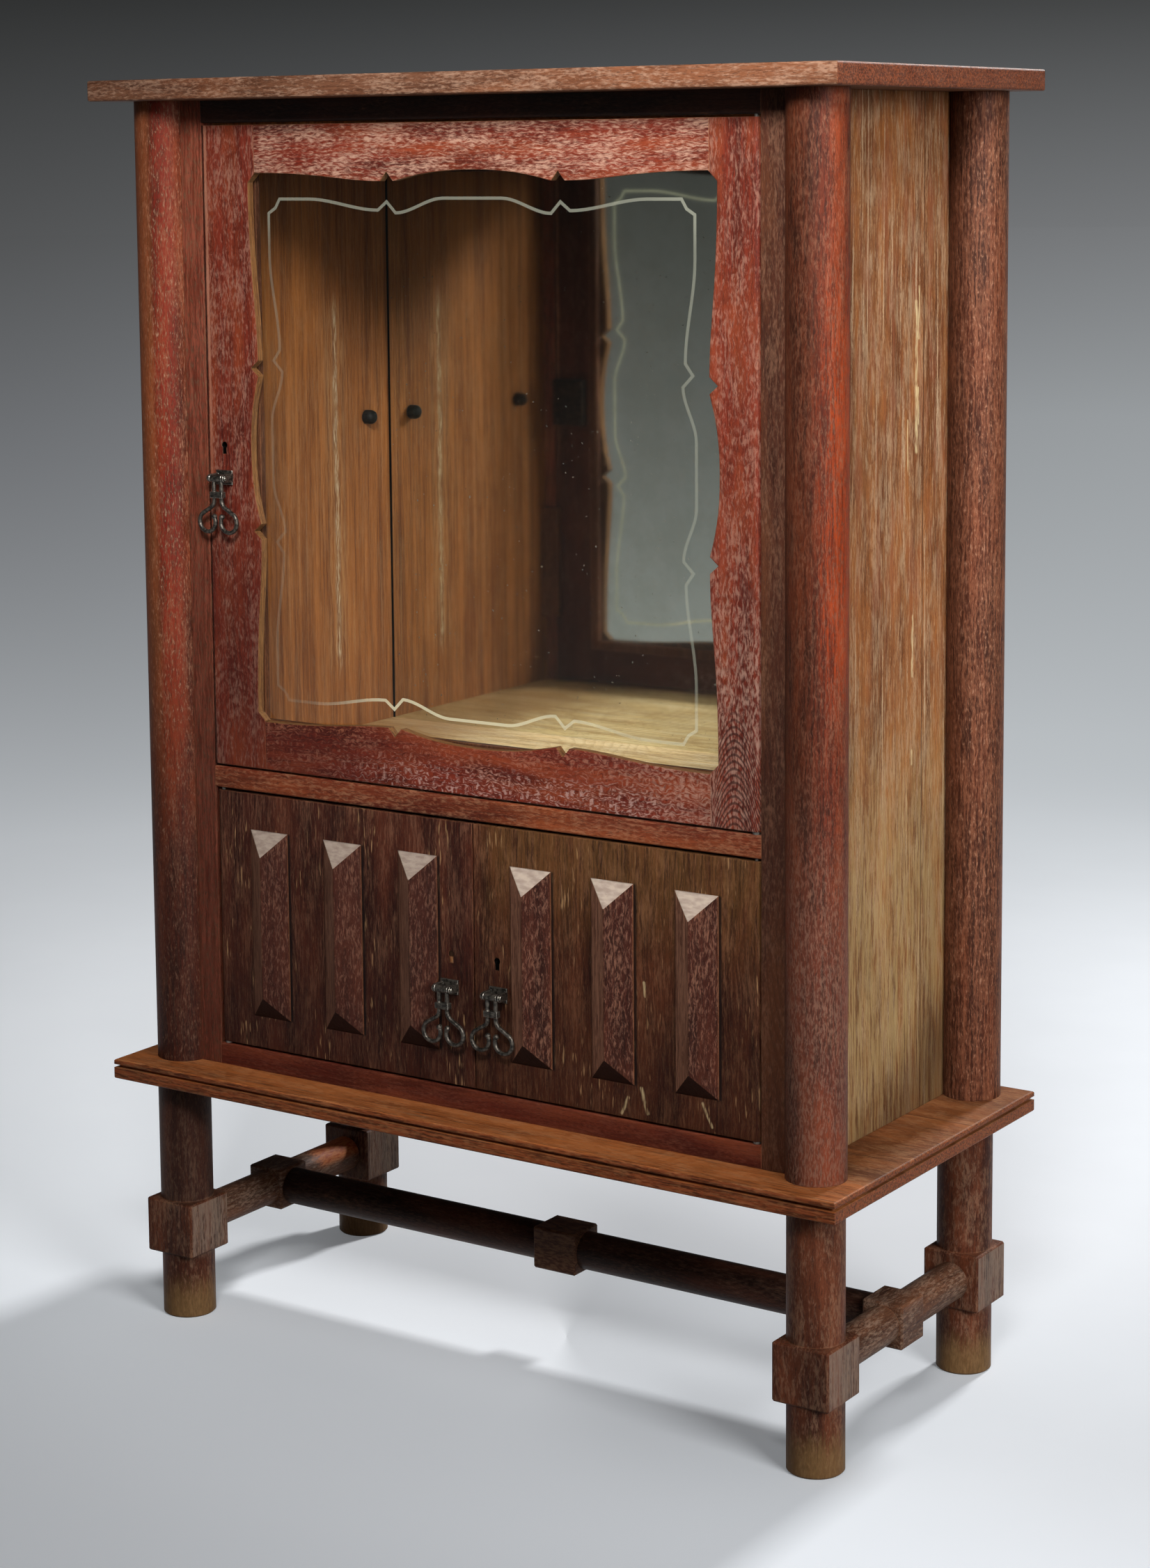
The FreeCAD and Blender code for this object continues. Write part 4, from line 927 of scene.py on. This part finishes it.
# %% Wall sides
TINT_Z, YELLOW_Z, SOIL_Z = (700, 1000), (850, 560), (420, 290)
REAR_SOIL_Y, REAR_SOIL_HEAD, REAR_SOIL_FOOT = (70, 140), (720, 560), (330, 420)
CHALK_Y, CHALK_Z, CHALK_HALF_RUN, CHALK_FADE = 86.0, 1000.0, 210.0, 40
HALO_WIDTH, CHALK_WIDTH, CHALK_WOBBLE = (30, 8), (6.5, 1.0), 60
TINT, STRIPE, CHALK_BREAK = (15, 110, 3.0), (13, 500, 5.0, 0.62), (1.6, 16, 3.0)
LEFT_WALL_X = 100, -100


def weathered(f, colour, y, z, outer, streak):
    """The outside of a wall: tinted above, yellowed below and soiled at the foot and low at the rear."""
    tint = f.fibres((y, 0.0, z), TINT)
    tinted = outer * f.ease(z, *TINT_Z) * f.ease(tint, 0.48, 0.64) * 0.35
    colour = f.blend(tinted, colour, tone(136, 74, 50))
    yellowed = outer * f.ease(z, *YELLOW_Z) * (0.08 + f.ease(streak, 0.38, 0.6) * 0.5)
    colour = f.blend(yellowed, colour, tone(178, 153, 103))
    soiled = f.ease(z - y * 0.5 + (streak - 0.5) * 90, *SOIL_Z) * 0.65
    soiled = soiled + f.ease(y, *REAR_SOIL_Y) * f.ease(z, *REAR_SOIL_HEAD) * f.ease(z, *REAR_SOIL_FOOT) * 0.2
    return f.blend(outer * soiled, colour, tone(62, 36, 20))


def oiled_and_chalked(f, colour, x, y, z, inner, speck, streak):
    """The inside of a wall: striped with oil, and on the left a broken streak of chalk in a pale halo."""
    stripe = f.fibres((y, 0.0, z), STRIPE)
    oiled = f.blend(f.ease(stripe * 0.7 + streak * 0.3, 0.34, 0.68), tone(97, 51, 20), tone(158, 98, 47))
    colour = f.blend(inner * 0.8, colour, oiled)
    wobble = f.noise(z / CHALK_WOBBLE, 3.0, 0.0, 1.0)
    broken = f.fibres((y, 0.0, z), CHALK_BREAK)
    off_chalk = abs(y - CHALK_Y + (wobble - 0.5) * 14)
    run = f.ease(abs(z - CHALK_Z), CHALK_HALF_RUN + CHALK_FADE, CHALK_HALF_RUN)
    run = run * f.ease(wobble + streak, 0.75, 1.0) * inner * f.ease(x, *LEFT_WALL_X)
    halo = f.ease(off_chalk, *HALO_WIDTH) * f.ease(streak, 0.4, 0.6) * run
    colour = f.blend(halo * 0.2, colour, tone(186, 150, 108))
    chalk = f.ease(off_chalk + (speck - 0.5) * 9, *CHALK_WIDTH) * f.ease(broken, 0.42, 0.62) * run
    return f.blend(chalk * 0.7, colour, tone(196, 176, 148))


print("chalk: a streak %.0f mm long" % (2 * CHALK_HALF_RUN))

# %% [markdown]
# ## Side walls
# Each wall is two boards of dry golden oak with long pale threads of lime, and the joint between them shows
# as a thin dark line. The right one has streaks of cream outside. The way a face looks, times the side it
# stands on, tells the inside from the outside, for both walls at once.

# %% Walls
WALL_JOINT_Y, JOINT_HALF_WIDTH = 111.0, 0.9
INNER_SIDE, RIGHT_WALL_X = (0, -100), (0, 100)
# Each streak: where it starts and ends, as y and z, and half its width
WALL_STREAKS = (((94, 1245), (95, 1080), 3.0), ((100, 1262), (99, 1205), 1.6), ((99, 1150), (99, 1110), 1.4),
                ((74, 1115), (75, 1055), 1.6), ((88, 895), (87, 828), 2.0), ((87, 742), (88, 728), 2.2))
wall_x = middle("side_panel_right").x


def joined(f, colour, place, speck, streak):
    """A wall's two boards with a dark joint, weathered and streaked outside, oiled and chalked inside."""
    x, y, z = place
    inner = f.ease(x * f.facing()[0], *INNER_SIDE)
    outer = 1 - inner
    colour = weathered(f, colour, y, z, outer, streak)
    off_joint = abs(y - WALL_JOINT_Y) + (speck - 0.5) * 1.5
    joint = f.ease(off_joint, JOINT_HALF_WIDTH * 1.6, JOINT_HALF_WIDTH * 0.6)
    colour = f.blend(joint * 0.7, colour, tone(62, 34, 20))
    on_right = outer * f.ease(x, *RIGHT_WALL_X)
    for start, end, half_width in WALL_STREAKS:
        cream = stroke(f, y, z, start, end, half_width, speck)
        colour = f.blend(cream * on_right * 0.75, colour, tone(218, 198, 150))
    return oiled_and_chalked(f, colour, x, y, z, inner, speck, streak)


walls = oak("golden_oak_wall", lambda x, y, z: (y, abs(x) - wall_x, z), limed=0.5, fleck=(2.8, 26.0),
            curl=4.0, wander=5.0, threads=0.85, figure=0.25, gloss=0.6, late=joined, **GOLD)
dress(walls, "side_panel_left", "side_panel_right")
print("walls: %d streaks of cream on the right" % len(WALL_STREAKS))

# %% [markdown]
# ## Display floor, back and strips
# The floor of the display space is the palest wood, with painted shade, browner, towards its left end. The
# back is five upright planks, and battens, cleats, beads and stops are plain strips. The back uses the same
# remainder as the boards, across the width instead of the depth.

# %% Display floor and back
BACK_PLANKS = 5
FLOOR_SHADE_X = -130, -320
back_width = (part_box("back_planks")[1].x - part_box("back_planks")[0].x) * MM
back_plank = back_width / BACK_PLANKS


def shade_to_left_end(f, colour, place, speck, streak):
    """The floor of the display space, with painted shade, browner, towards its left end."""
    # Painted shade towards the left end.
    return f.blend(f.ease(place[0], *FLOOR_SHADE_X) * 0.75, colour, tone(124, 82, 42))


def back_lie(x, y, z):
    """Upright planks side by side, each cut from another place along the tree."""
    from_left = x + back_width / 2
    within = from_left % back_plank
    return within - back_plank / 2, y, z + (from_left - within) * PLANK_STEP


floor_boards = oak("golden_oak_floor", lengthwise, limed=0.35, fleck=(2.0, 36.0), curl=2.0, wander=4.0,
                   threads=0.5, figure=0.3, gloss=0.6, late=shade_to_left_end,
                   **palette((176, 138, 90), (237, 204, 150), (242, 212, 162), (250, 240, 216)))
planks = oak("golden_oak_back", back_lie, limed=0.3, figure=0.3, gloss=0.65, **GOLD)
strips = oak("golden_oak_strip", lengthwise, limed=0.25, gloss=0.6, **GOLD)
beads = oak("brown_oak_bead", lambda x, y, z: (y, x, z), limed=0.25, gloss=0.6, **SHADED)
dress(floor_boards, "display_floor")
dress(planks, "back_planks")
dress(strips, "rear_battens", "floor_cleats")
dress(beads, "glazing_beads", "door_stops")
print("back of %d planks, %.0f mm each" % (BACK_PLANKS, back_plank))

# %% [markdown]
# ## Lower doors
# The slabs are the darkest wood, streaked with tan, with painted shade towards the foot. The left one is
# redder, and the right one is umber, olive towards the top, with a few pale chips. Painted shade marks a dark
# gap down beside each bar. It could be cut into the slab, but it is less than a shaving deep, so it belongs
# to the finish. The left door's keyhole is blind: its plug shows bare wood in the slot and painted shade,
# near black, in the round eye.

# %% Slabs and plug
BAR_PITCH = 109.2
BAR_FOOT, BAR_HEAD = (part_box("lower_left_bars")[end].z * MM for end in (0, 1))
BAR_FADE, BAR_GAP_SHADE_WIDTH = 2, (4.8, 2.4)
OLIVE_Z, OLIVE_X, FOOT_SHADE_Z = (500, 640), (0, 40), (580, 380)
# Each chip: where it starts and ends, as x and z, and half its width
CHIPS = (((225, 389), (233, 362), 2.0), ((208, 376), (199, 357), 1.8), ((304, 385), (316, 360), 1.5),
         ((229, 509), (230, 494), 1.6))
DASH, SPARSE = (3.0, 30, 2.0), (60, 90, 1.0)
SLAB_GRAIN = {"limed": 0.4, "fleck": (2.2, 20.0), "curl": 4.0, "wear": 0.3}
plug_z = middle("keyhole_plug").z


def upright(x, y, z):
    """Grain up a board of the front."""
    return x, y - face_y, z


def gap_shade_and_dashes(bar_edge, chips=()):
    """Painted shade in a dark gap down the right edge of each bar, counted from one edge, with pale dashes and
    chips, painted shade towards the foot and in the keyhole.
    """
    def late(f, colour, place, speck, streak):
        x, y, z = place
        olive = f.ease(z, *OLIVE_Z) * f.ease(x, *OLIVE_X) * f.ease(streak, 0.3, 0.6) * 0.3
        colour = f.blend(olive, colour, tone(122, 90, 46))
        # Painted shade towards the foot of the slab.
        colour = f.blend(f.ease(z, *FOOT_SHADE_Z) * 0.38, colour, tone(28, 11, 6))
        pale = f.ease(f.fibres(place, DASH) + (f.fibres(place, SPARSE) - 0.5) * 0.5, 0.65, 0.75)
        colour = f.blend(pale * 0.6, colour, tone(170, 134, 94))
        off_edge = abs((x - bar_edge + BAR_PITCH / 2) % BAR_PITCH - BAR_PITCH / 2)
        above_foot = f.ease(z, BAR_FOOT - BAR_FADE, BAR_FOOT + BAR_FADE)
        beside = above_foot * f.ease(z, BAR_HEAD + BAR_FADE, BAR_HEAD - BAR_FADE)
        # Painted shade in the gap down the right edge of each bar.
        gap = f.ease(off_edge + (speck - 0.5) * 1.5, *BAR_GAP_SHADE_WIDTH) * beside
        colour = f.blend(gap * 0.85, colour, tone(14, 9, 8))
        look_y = f.facing()[1]
        front = f.ease(look_y, -0.5, -0.8)
        for start, end, half_width in chips:
            chip = stroke(f, x, z, start, end, half_width, speck)
            colour = f.blend(chip * front * 0.75, colour, tone(190, 168, 126))
        # Painted shade, near black, on the walls of the keyhole.
        hole_shade = f.ease(abs(look_y), 0.7, 0.4) * near_key(f, place, lower_key)
        return f.blend(hole_shade, colour, HOLE_SHADE)
    return late


def shaded_eye(f, colour, place, speck, streak):
    """The plug of the blind keyhole: bare wood in the slot, and painted shade, near black, in the round eye
    above it.
    """
    # Painted shade in the round eye.
    return f.blend(f.ease(place[2], plug_z - 1, plug_z + 1) * 0.9, colour, HOLE_SHADE)


left_slab = oak("red_brown_oak_slab", upright, late=gap_shade_and_dashes(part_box("lower_left_bars")[1].x * MM),
                **SLAB_GRAIN, **palette((34, 15, 10), (62, 28, 19), (82, 40, 26), (134, 94, 72)))
right_slab = oak("umber_oak_slab", upright, late=gap_shade_and_dashes(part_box("lower_right_bars")[1].x * MM, CHIPS),
                 **SLAB_GRAIN, **palette((40, 18, 10), (72, 36, 22), (91, 48, 28), (142, 100, 72)))
plug = oak("golden_oak_plug", upright, limed=0.25, late=shaded_eye, **GOLD)
dress(left_slab, "lower_left_slab")
dress(right_slab, "lower_right_slab")
dress(plug, "keyhole_plug")
print("slabs: gaps %.1f mm apart, %d chips" % (BAR_PITCH, len(CHIPS)))

# %% [markdown]
# ## Hipped bars
# Each bar is a long hipped block. The upper hips are cut across the grain and took most lime, and they
# carry a painted highlight as well, so they look pale. The lower hips carry painted shade, near black, and
# the facets on the left are smooth and greyish. A material for each facet would do as well, but the
# direction that a facet faces tells one from the other without touching the mesh.

# %% Bars
LEFT_DOOR_X = 30, -30
CUT_GRAIN = 12, 4, 3.0


def hips(f, colour, place, speck, streak):
    """Pale cut hips above, lime and a painted highlight, painted shade on the hips below, and a smooth greyish
    facet on the left.
    """
    look_x, look_y, look_z = f.facing()
    cut = f.fibres(place, CUT_GRAIN)
    left_face = f.blend(f.ease(streak, 0.38, 0.62), tone(110, 70, 53), tone(176, 126, 100))
    colour = f.blend(f.ease(look_x, -0.2, -0.4) * 0.7, colour, left_face)
    top = f.ease(look_z, 0.2, 0.4)
    foot = f.ease(look_z, -0.2, -0.4)
    # Painted highlight, with the lime of the cut grain, on the upper hips.
    colour = f.blend(top, colour, f.blend(f.ease(cut, 0.3, 0.7), tone(158, 139, 126), tone(186, 168, 152)))
    # Painted shade, near black, on the lower hips.
    colour = f.blend(foot * 0.9, colour, f.blend(cut, tone(22, 12, 10), tone(40, 23, 19)))
    return f.blend(f.ease(place[0], *LEFT_DOOR_X) * 0.3, colour, tone(46, 24, 18))


bars = oak("red_oak_bar", upright, limed=0.46, soft=0.1, fleck=(1.8, 9.0), curl=8.0, blotch=0.25, late=hips,
           **palette((34, 13, 8), (60, 26, 17), (82, 41, 27), (140, 100, 80)))
dress(bars, "lower_left_bars", "lower_right_bars")

# %% [markdown]
# ## The pane
# The pane lets light straight through and reflects a little, more at a glance. A glass shader would bend the
# light twice for nothing in so thin a pane, so a see-through shader is mixed with a shiny one by Fresnel.
# Only the outer side of each face shines, so the pane does not reflect twice.

# %% Pane
DUST = 90, 4.0, 0.7
f = Finish(bpy.data.materials.new("old_pane"))
dust = f.cloud(*DUST)
sheen = f.node("ShaderNodeFresnel", None, {"IOR": 1.45})
clear = f.node("ShaderNodeBsdfTransparent", None, {"Color": tone(251, 252, 250)})
shiny = f.node("ShaderNodeBsdfPrincipled", None, {
    "Base Color": tone(226, 232, 224), "Metallic": 1.0, "Roughness": 0.02 + f.ease(dust, 0.5, 0.8) * 0.1})
outer_side = 1 - f.node("ShaderNodeNewGeometry", out="Backfacing")
shine = (sheen * 0.9 + dust * 0.02) * outer_side
pane = f.surface(f.node("ShaderNodeMixShader", None, {0: shine, 1: clear, 2: shiny}))
dress(pane, "upper_door_glass")
print("pane: shines on its outer sides")

# %% [markdown]
# ## The mirror
# The mirror is old: its silvering is a little grey, with small spots, and painted shade darkens it to black
# along the walls, in the corners. Glass over a metal sheet would be the real build, but at this distance a
# metal with clouds, spots and a dark edge of painted shade looks the same and reflects only once.

# %% Mirror
MIRROR_SEEN = abs(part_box("side_panel_left")[1].x)
CORNER_SHADE_WIDTH = 0.004
CLOUDS, SPOTS = (14, 4.0, 0.65), (210, 2.0)
f = Finish(bpy.data.materials.new("old_silvering"))
cloud = f.cloud(*CLOUDS)
spot = f.ease(f.cloud(*SPOTS), 0.68, 0.74) * f.ease(cloud, 0.45, 0.6)
silver = f.blend(f.ease(cloud, 0.35, 0.7), tone(238, 239, 229), tone(227, 228, 216))
silver = f.blend(spot, silver, tone(92, 84, 70))
# Painted shade, near black, in the corners along the walls.
corner_shade = f.ease(abs(f.here()[0]), MIRROR_SEEN - CORNER_SHADE_WIDTH, MIRROR_SEEN - CORNER_SHADE_WIDTH * 0.7)
silver = f.blend(corner_shade, silver, tone(30, 27, 23))
mirror = f.surface(f.node("ShaderNodeBsdfPrincipled", None, {
    "Base Color": silver, "Metallic": 1.0 - spot * 0.6, "Roughness": 0.03 + cloud * 0.04 + spot * 0.3}))
dress(mirror, "mirror")
print("mirror: black for %.0f mm along each wall" % (CORNER_SHADE_WIDTH * MM))

# %% [markdown]
# ## Iron, steel and knobs
# The drop pulls are forged iron, dark in patches and rubbed bright on the edges. The case and screws of
# the upper lock, which show in the mirror, are blackened iron. The other locks, bolts and screws are dull
# steel. One recipe does all three, with other tones, grain and wear. The shelf knobs are turned wood, stained
# black and waxed, so they use the oak recipe with hardly any lime.

# %% Metals and knobs
METAL_ARRIS = 0.0012
DENTS_TO_PATCHES = 0.8
STEEL_PIECES = ("upper_lock_bolt", "lower_lock_case", "lower_lock_bolt", "lower_lock_screws",
                "floor_bolt_plate", "floor_bolt_rod", "floor_bolt_screws", "pivot_pins", "pivot_washers",
                "back_screws", "cleat_screws")


def metal(name, dark, body, bright, grain, roughness, wear):
    """Metal with a hammered surface, a patchy skin and rubbed arrises. grain is its patches to a metre."""
    f = Finish(bpy.data.materials.new(name))
    skin = f.cloud(grain, 4.0, 0.6)
    dents = f.noise(*(part * grain * DENTS_TO_PATCHES for part in f.here()), 1.0)
    round_normal, turn = f.rounded(METAL_ARRIS)
    rubbed = f.ease(turn + (skin - 0.5) * 0.4, 0.05, 0.25) * wear
    colour = f.blend(f.ease(skin, 0.35, 0.65), dark, body)
    colour = f.blend(rubbed, colour, bright)
    bump = f.node("ShaderNodeBump", None,
                  {"Strength": 0.5, "Distance": 0.0008, "Height": dents, "Normal": round_normal})
    return f.surface(f.node("ShaderNodeBsdfPrincipled", None, {
        "Base Color": colour, "Metallic": 0.75 + rubbed * 0.25,
        "Roughness": roughness - rubbed * 0.12 + (skin - 0.5) * 0.2, "Normal": bump}))


iron = metal("forged_iron", tone(40, 37, 33), tone(98, 91, 82), tone(206, 199, 186),
             grain=260.0, roughness=0.42, wear=1.0)
black_iron = metal("blackened_iron", tone(34, 25, 20), tone(60, 46, 37), tone(84, 70, 60),
                   grain=200.0, roughness=0.6, wear=0.4)
steel = metal("dull_steel", tone(92, 88, 82), tone(146, 142, 134), tone(196, 194, 188),
              grain=180.0, roughness=0.42, wear=0.7)
ebony = oak("black_wood_knob", lengthwise, limed=0.25, gloss=0.4, ring=3.0, fleck=(0.8, 6.0),
            **palette((14, 12, 11), (26, 23, 21), (48, 43, 39), (60, 54, 50)))
for pull in ("upper_pull", "lower_left_pull", "lower_right_pull"):
    dress(iron, pull, pull + "_bracket", pull + "_pin")
dress(black_iron, "upper_lock_case", "upper_lock_screws")
dress(steel, *STEEL_PIECES)
dress(ebony, "shelf_pegs")
print("steel on %d pieces" % len(STEEL_PIECES))

# %% [markdown]
# ## The path of the engraved line
# A thin matt line is cut into the glass. It follows the scallops of the opening at a finger's width, with a
# sharp tick beside each notch and small canted corners. It could be traced point by point, but its four sides
# share one pattern, so one side is worked out as run and depth, and then turned to each edge of the pane.

# %% Line path
LINE_LEFT, LINE_RIGHT = -0.2865, 0.2915
LINE_BOTTOM, LINE_TOP = 0.7770, 1.3620
CROSS_PITCH, UPRIGHT_PITCH = 0.236, 0.212
TICK = {"rise": 0.0095, "half_width": 0.0125, "drop": 0.0030}
LOBE_DIP, LOBE_CREST = 0.0125, -0.001
FLAT_SHARE, LOBE_SHARE = 0.3, 0.62
CANT, DENT_SHARE = 0.0165, 0.62
LOBE_STEPS = 10


def lobe(start, end):
    """A cubic curve between two levels, leaving and arriving level."""
    points = []
    for step in range(LOBE_STEPS + 1):
        t = step / LOBE_STEPS
        rise = t * t * (3 - 2 * t)
        points.append((start[0] + (end[0] - start[0]) * t, start[1] + (end[1] - start[1]) * rise))
    return points


def line_side(length, pitch):
    """Half of one side as run and depth, then mirrored: outer lobe, tick, middle lobe, tick, outer lobe."""
    centre = length / 2
    tick = centre - pitch / 2
    lip = tick - TICK["half_width"]
    flat_end = CANT + (lip - CANT) * FLAT_SHARE
    half = [(CANT, 0.0)] + lobe((flat_end, 0.0), (lip, LOBE_DIP))
    half.append((tick, LOBE_DIP - TICK["rise"]))
    inner = (tick + TICK["half_width"], LOBE_DIP + TICK["drop"])
    half += lobe(inner, (inner[0] + (centre - inner[0]) * LOBE_SHARE, LOBE_CREST))
    return half + [(length - run, depth) for run, depth in reversed(half)]


def line_path():
    """The closed line as points of the pane, x and z, with a dented cant at each corner."""
    width, height = LINE_RIGHT - LINE_LEFT, LINE_TOP - LINE_BOTTOM
    top = [(LINE_LEFT + run, LINE_TOP - depth) for run, depth in line_side(width, CROSS_PITCH)]
    side = [(LINE_RIGHT - depth, LINE_TOP - run) for run, depth in line_side(height, UPRIGHT_PITCH)]
    foot = [(LINE_RIGHT - run, LINE_BOTTOM + depth) for run, depth in line_side(width, CROSS_PITCH)]
    lock = [(LINE_LEFT + depth, LINE_BOTTOM + run) for run, depth in line_side(height, UPRIGHT_PITCH)]
    dent = CANT * DENT_SHARE
    corners = [(LINE_RIGHT - dent, LINE_TOP - dent), (LINE_RIGHT - dent, LINE_BOTTOM + dent),
               (LINE_LEFT + dent, LINE_BOTTOM + dent), (LINE_LEFT + dent, LINE_TOP - dent)]
    points = []
    for run, corner in zip((top, side, foot, lock), corners):
        points += run + [corner]
    return [Vector(point) for point in points]


path_points = line_path()
print("engraved line: %d points" % len(path_points))

# %% [markdown]
# ## The engraved line as a ribbon
# A curve object with a bevel would round the ticks off and vary in width, so the line is a flat ribbon of
# quads with mitred corners. It is sunk a little into the glass and stands a hair proud of it, so the two
# surfaces never lie in one plane and flicker.

# %% Line ribbon
LINE_WIDTH = 0.0035
LINE_SUNK = 0.00012
LINE_PROUD = 0.00018
MITRE_LIMIT = 1.6
SHARPEST = 0.1
glass_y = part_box("upper_door_glass")[0].y


def ribbon(name, points, width, front_y, back_y):
    """A closed flat ribbon of quads that lies in a plane of constant y."""
    shape = bmesh.new()
    rings = []
    for here in range(len(points)):
        before, point, after = points[here - 1], points[here], points[(here + 1) % len(points)]
        came, goes = (point - before).normalized(), (after - point).normalized()
        side_in, side_out = Vector((-came.y, came.x)), Vector((-goes.y, goes.x))
        side = (side_in + side_out).normalized()
        side *= min(MITRE_LIMIT, 1 / max(side.dot(side_in), SHARPEST)) * width / 2
        edges = [point + side, point - side]
        rings.append([shape.verts.new((p.x, y, p.y)) for p, y in
                      ((edges[0], front_y), (edges[1], front_y), (edges[1], back_y), (edges[0], back_y))])
    for here, ring in enumerate(rings):
        following = rings[(here + 1) % len(rings)]
        for corner in range(4):
            other = (corner + 1) % 4
            shape.faces.new((ring[corner], ring[other], following[other], following[corner]))
    bmesh.ops.recalc_face_normals(shape, faces=shape.faces)
    mesh = bpy.data.meshes.new(name)
    shape.to_mesh(mesh)
    shape.free()
    return add_object(name, mesh)


engraving = ribbon("engraved_line", path_points, LINE_WIDTH, glass_y - LINE_PROUD, glass_y + LINE_SUNK)
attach(engraving, "upper_door")
print("engraved line: %d faces" % len(engraving.data.polygons))

# %% [markdown]
# ## The frost of the engraved line
# A cut in glass scatters the light, so it looks frosted. Its glints are painted by place, at the foot, the
# top and the right, where a lamp would strike it, and it hardly shows between. Lamps alone would not find so
# thin a line, so it has a faint light of its own, and its alpha carries the painted glints. The back of the
# ribbon, which the mirror shows, is painted brighter all round.

# %% Line finish
FOOT_GLINT_Z, FOOT_GLINT_X, FOOT_FADE_X = (0.83, 0.79), (-0.26, -0.1), (0.0, 0.26)
TOP_GLINT_Z, UPPER_GLINT_Z, RIGHT_GLINT_X = (1.30, 1.35), (1.05, 1.25), (0.2, 0.29)
SCRATCHES, DRIFT = (900, 3.0, 0.6), (9, 2.0)
f = Finish(bpy.data.materials.new("cut_glass_line"))
x, y, z = f.here()
scratch = f.cloud(*SCRATCHES)
drift = f.cloud(*DRIFT)
# Painted highlights: the glints are set by place, not found by the lamps.
foot_glint = f.ease(z, *FOOT_GLINT_Z) * f.ease(x, *FOOT_GLINT_X) * (1 - f.ease(x, *FOOT_FADE_X) * 0.6)
edge_glints = 0.05 + drift * 0.08 + f.ease(z, *TOP_GLINT_Z) * 0.2 + f.ease(x, *RIGHT_GLINT_X) * 0.14
glint = edge_glints + foot_glint * 0.5 + f.ease(z, *UPPER_GLINT_Z) * 0.07
behind = f.ease(f.facing()[1], 0.0, 0.5)
outer_side = 1 - f.node("ShaderNodeNewGeometry", out="Backfacing")
cut = (glint * (1 - behind) + behind * 0.75) * outer_side
frost = f.blend(scratch, tone(92, 92, 80), tone(124, 124, 110))
frost = f.blend(foot_glint, frost, tone(190, 178, 142))
engraving.data.materials.append(f.surface(f.node("ShaderNodeBsdfPrincipled", None, {
    "Base Color": frost, "Roughness": 0.6 + scratch * 0.3, "Alpha": cut,
    "Emission Color": tone(146, 147, 130), "Emission Strength": 1.0})))
print("engraved line: frosted, with a glint at its foot")

# %% [markdown]
# ## The view and the sizes
# The picture uses the plain Standard view, so the colours show as they are written. The sizes of the CAD
# model and of the dressed cabinet are kept side by side to show that nothing has grown.

# %% Finish
bpy.context.scene.view_settings.view_transform = "Standard"
visual_low, visual_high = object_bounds()
boxes = {"cad": [list(cad_low), list(cad_high)], "visual": [list(visual_low), list(visual_high)]}
print("grown by %.4f m" % max(abs(b - a) for one, two in zip(*boxes.values()) for a, b in zip(one, two)))
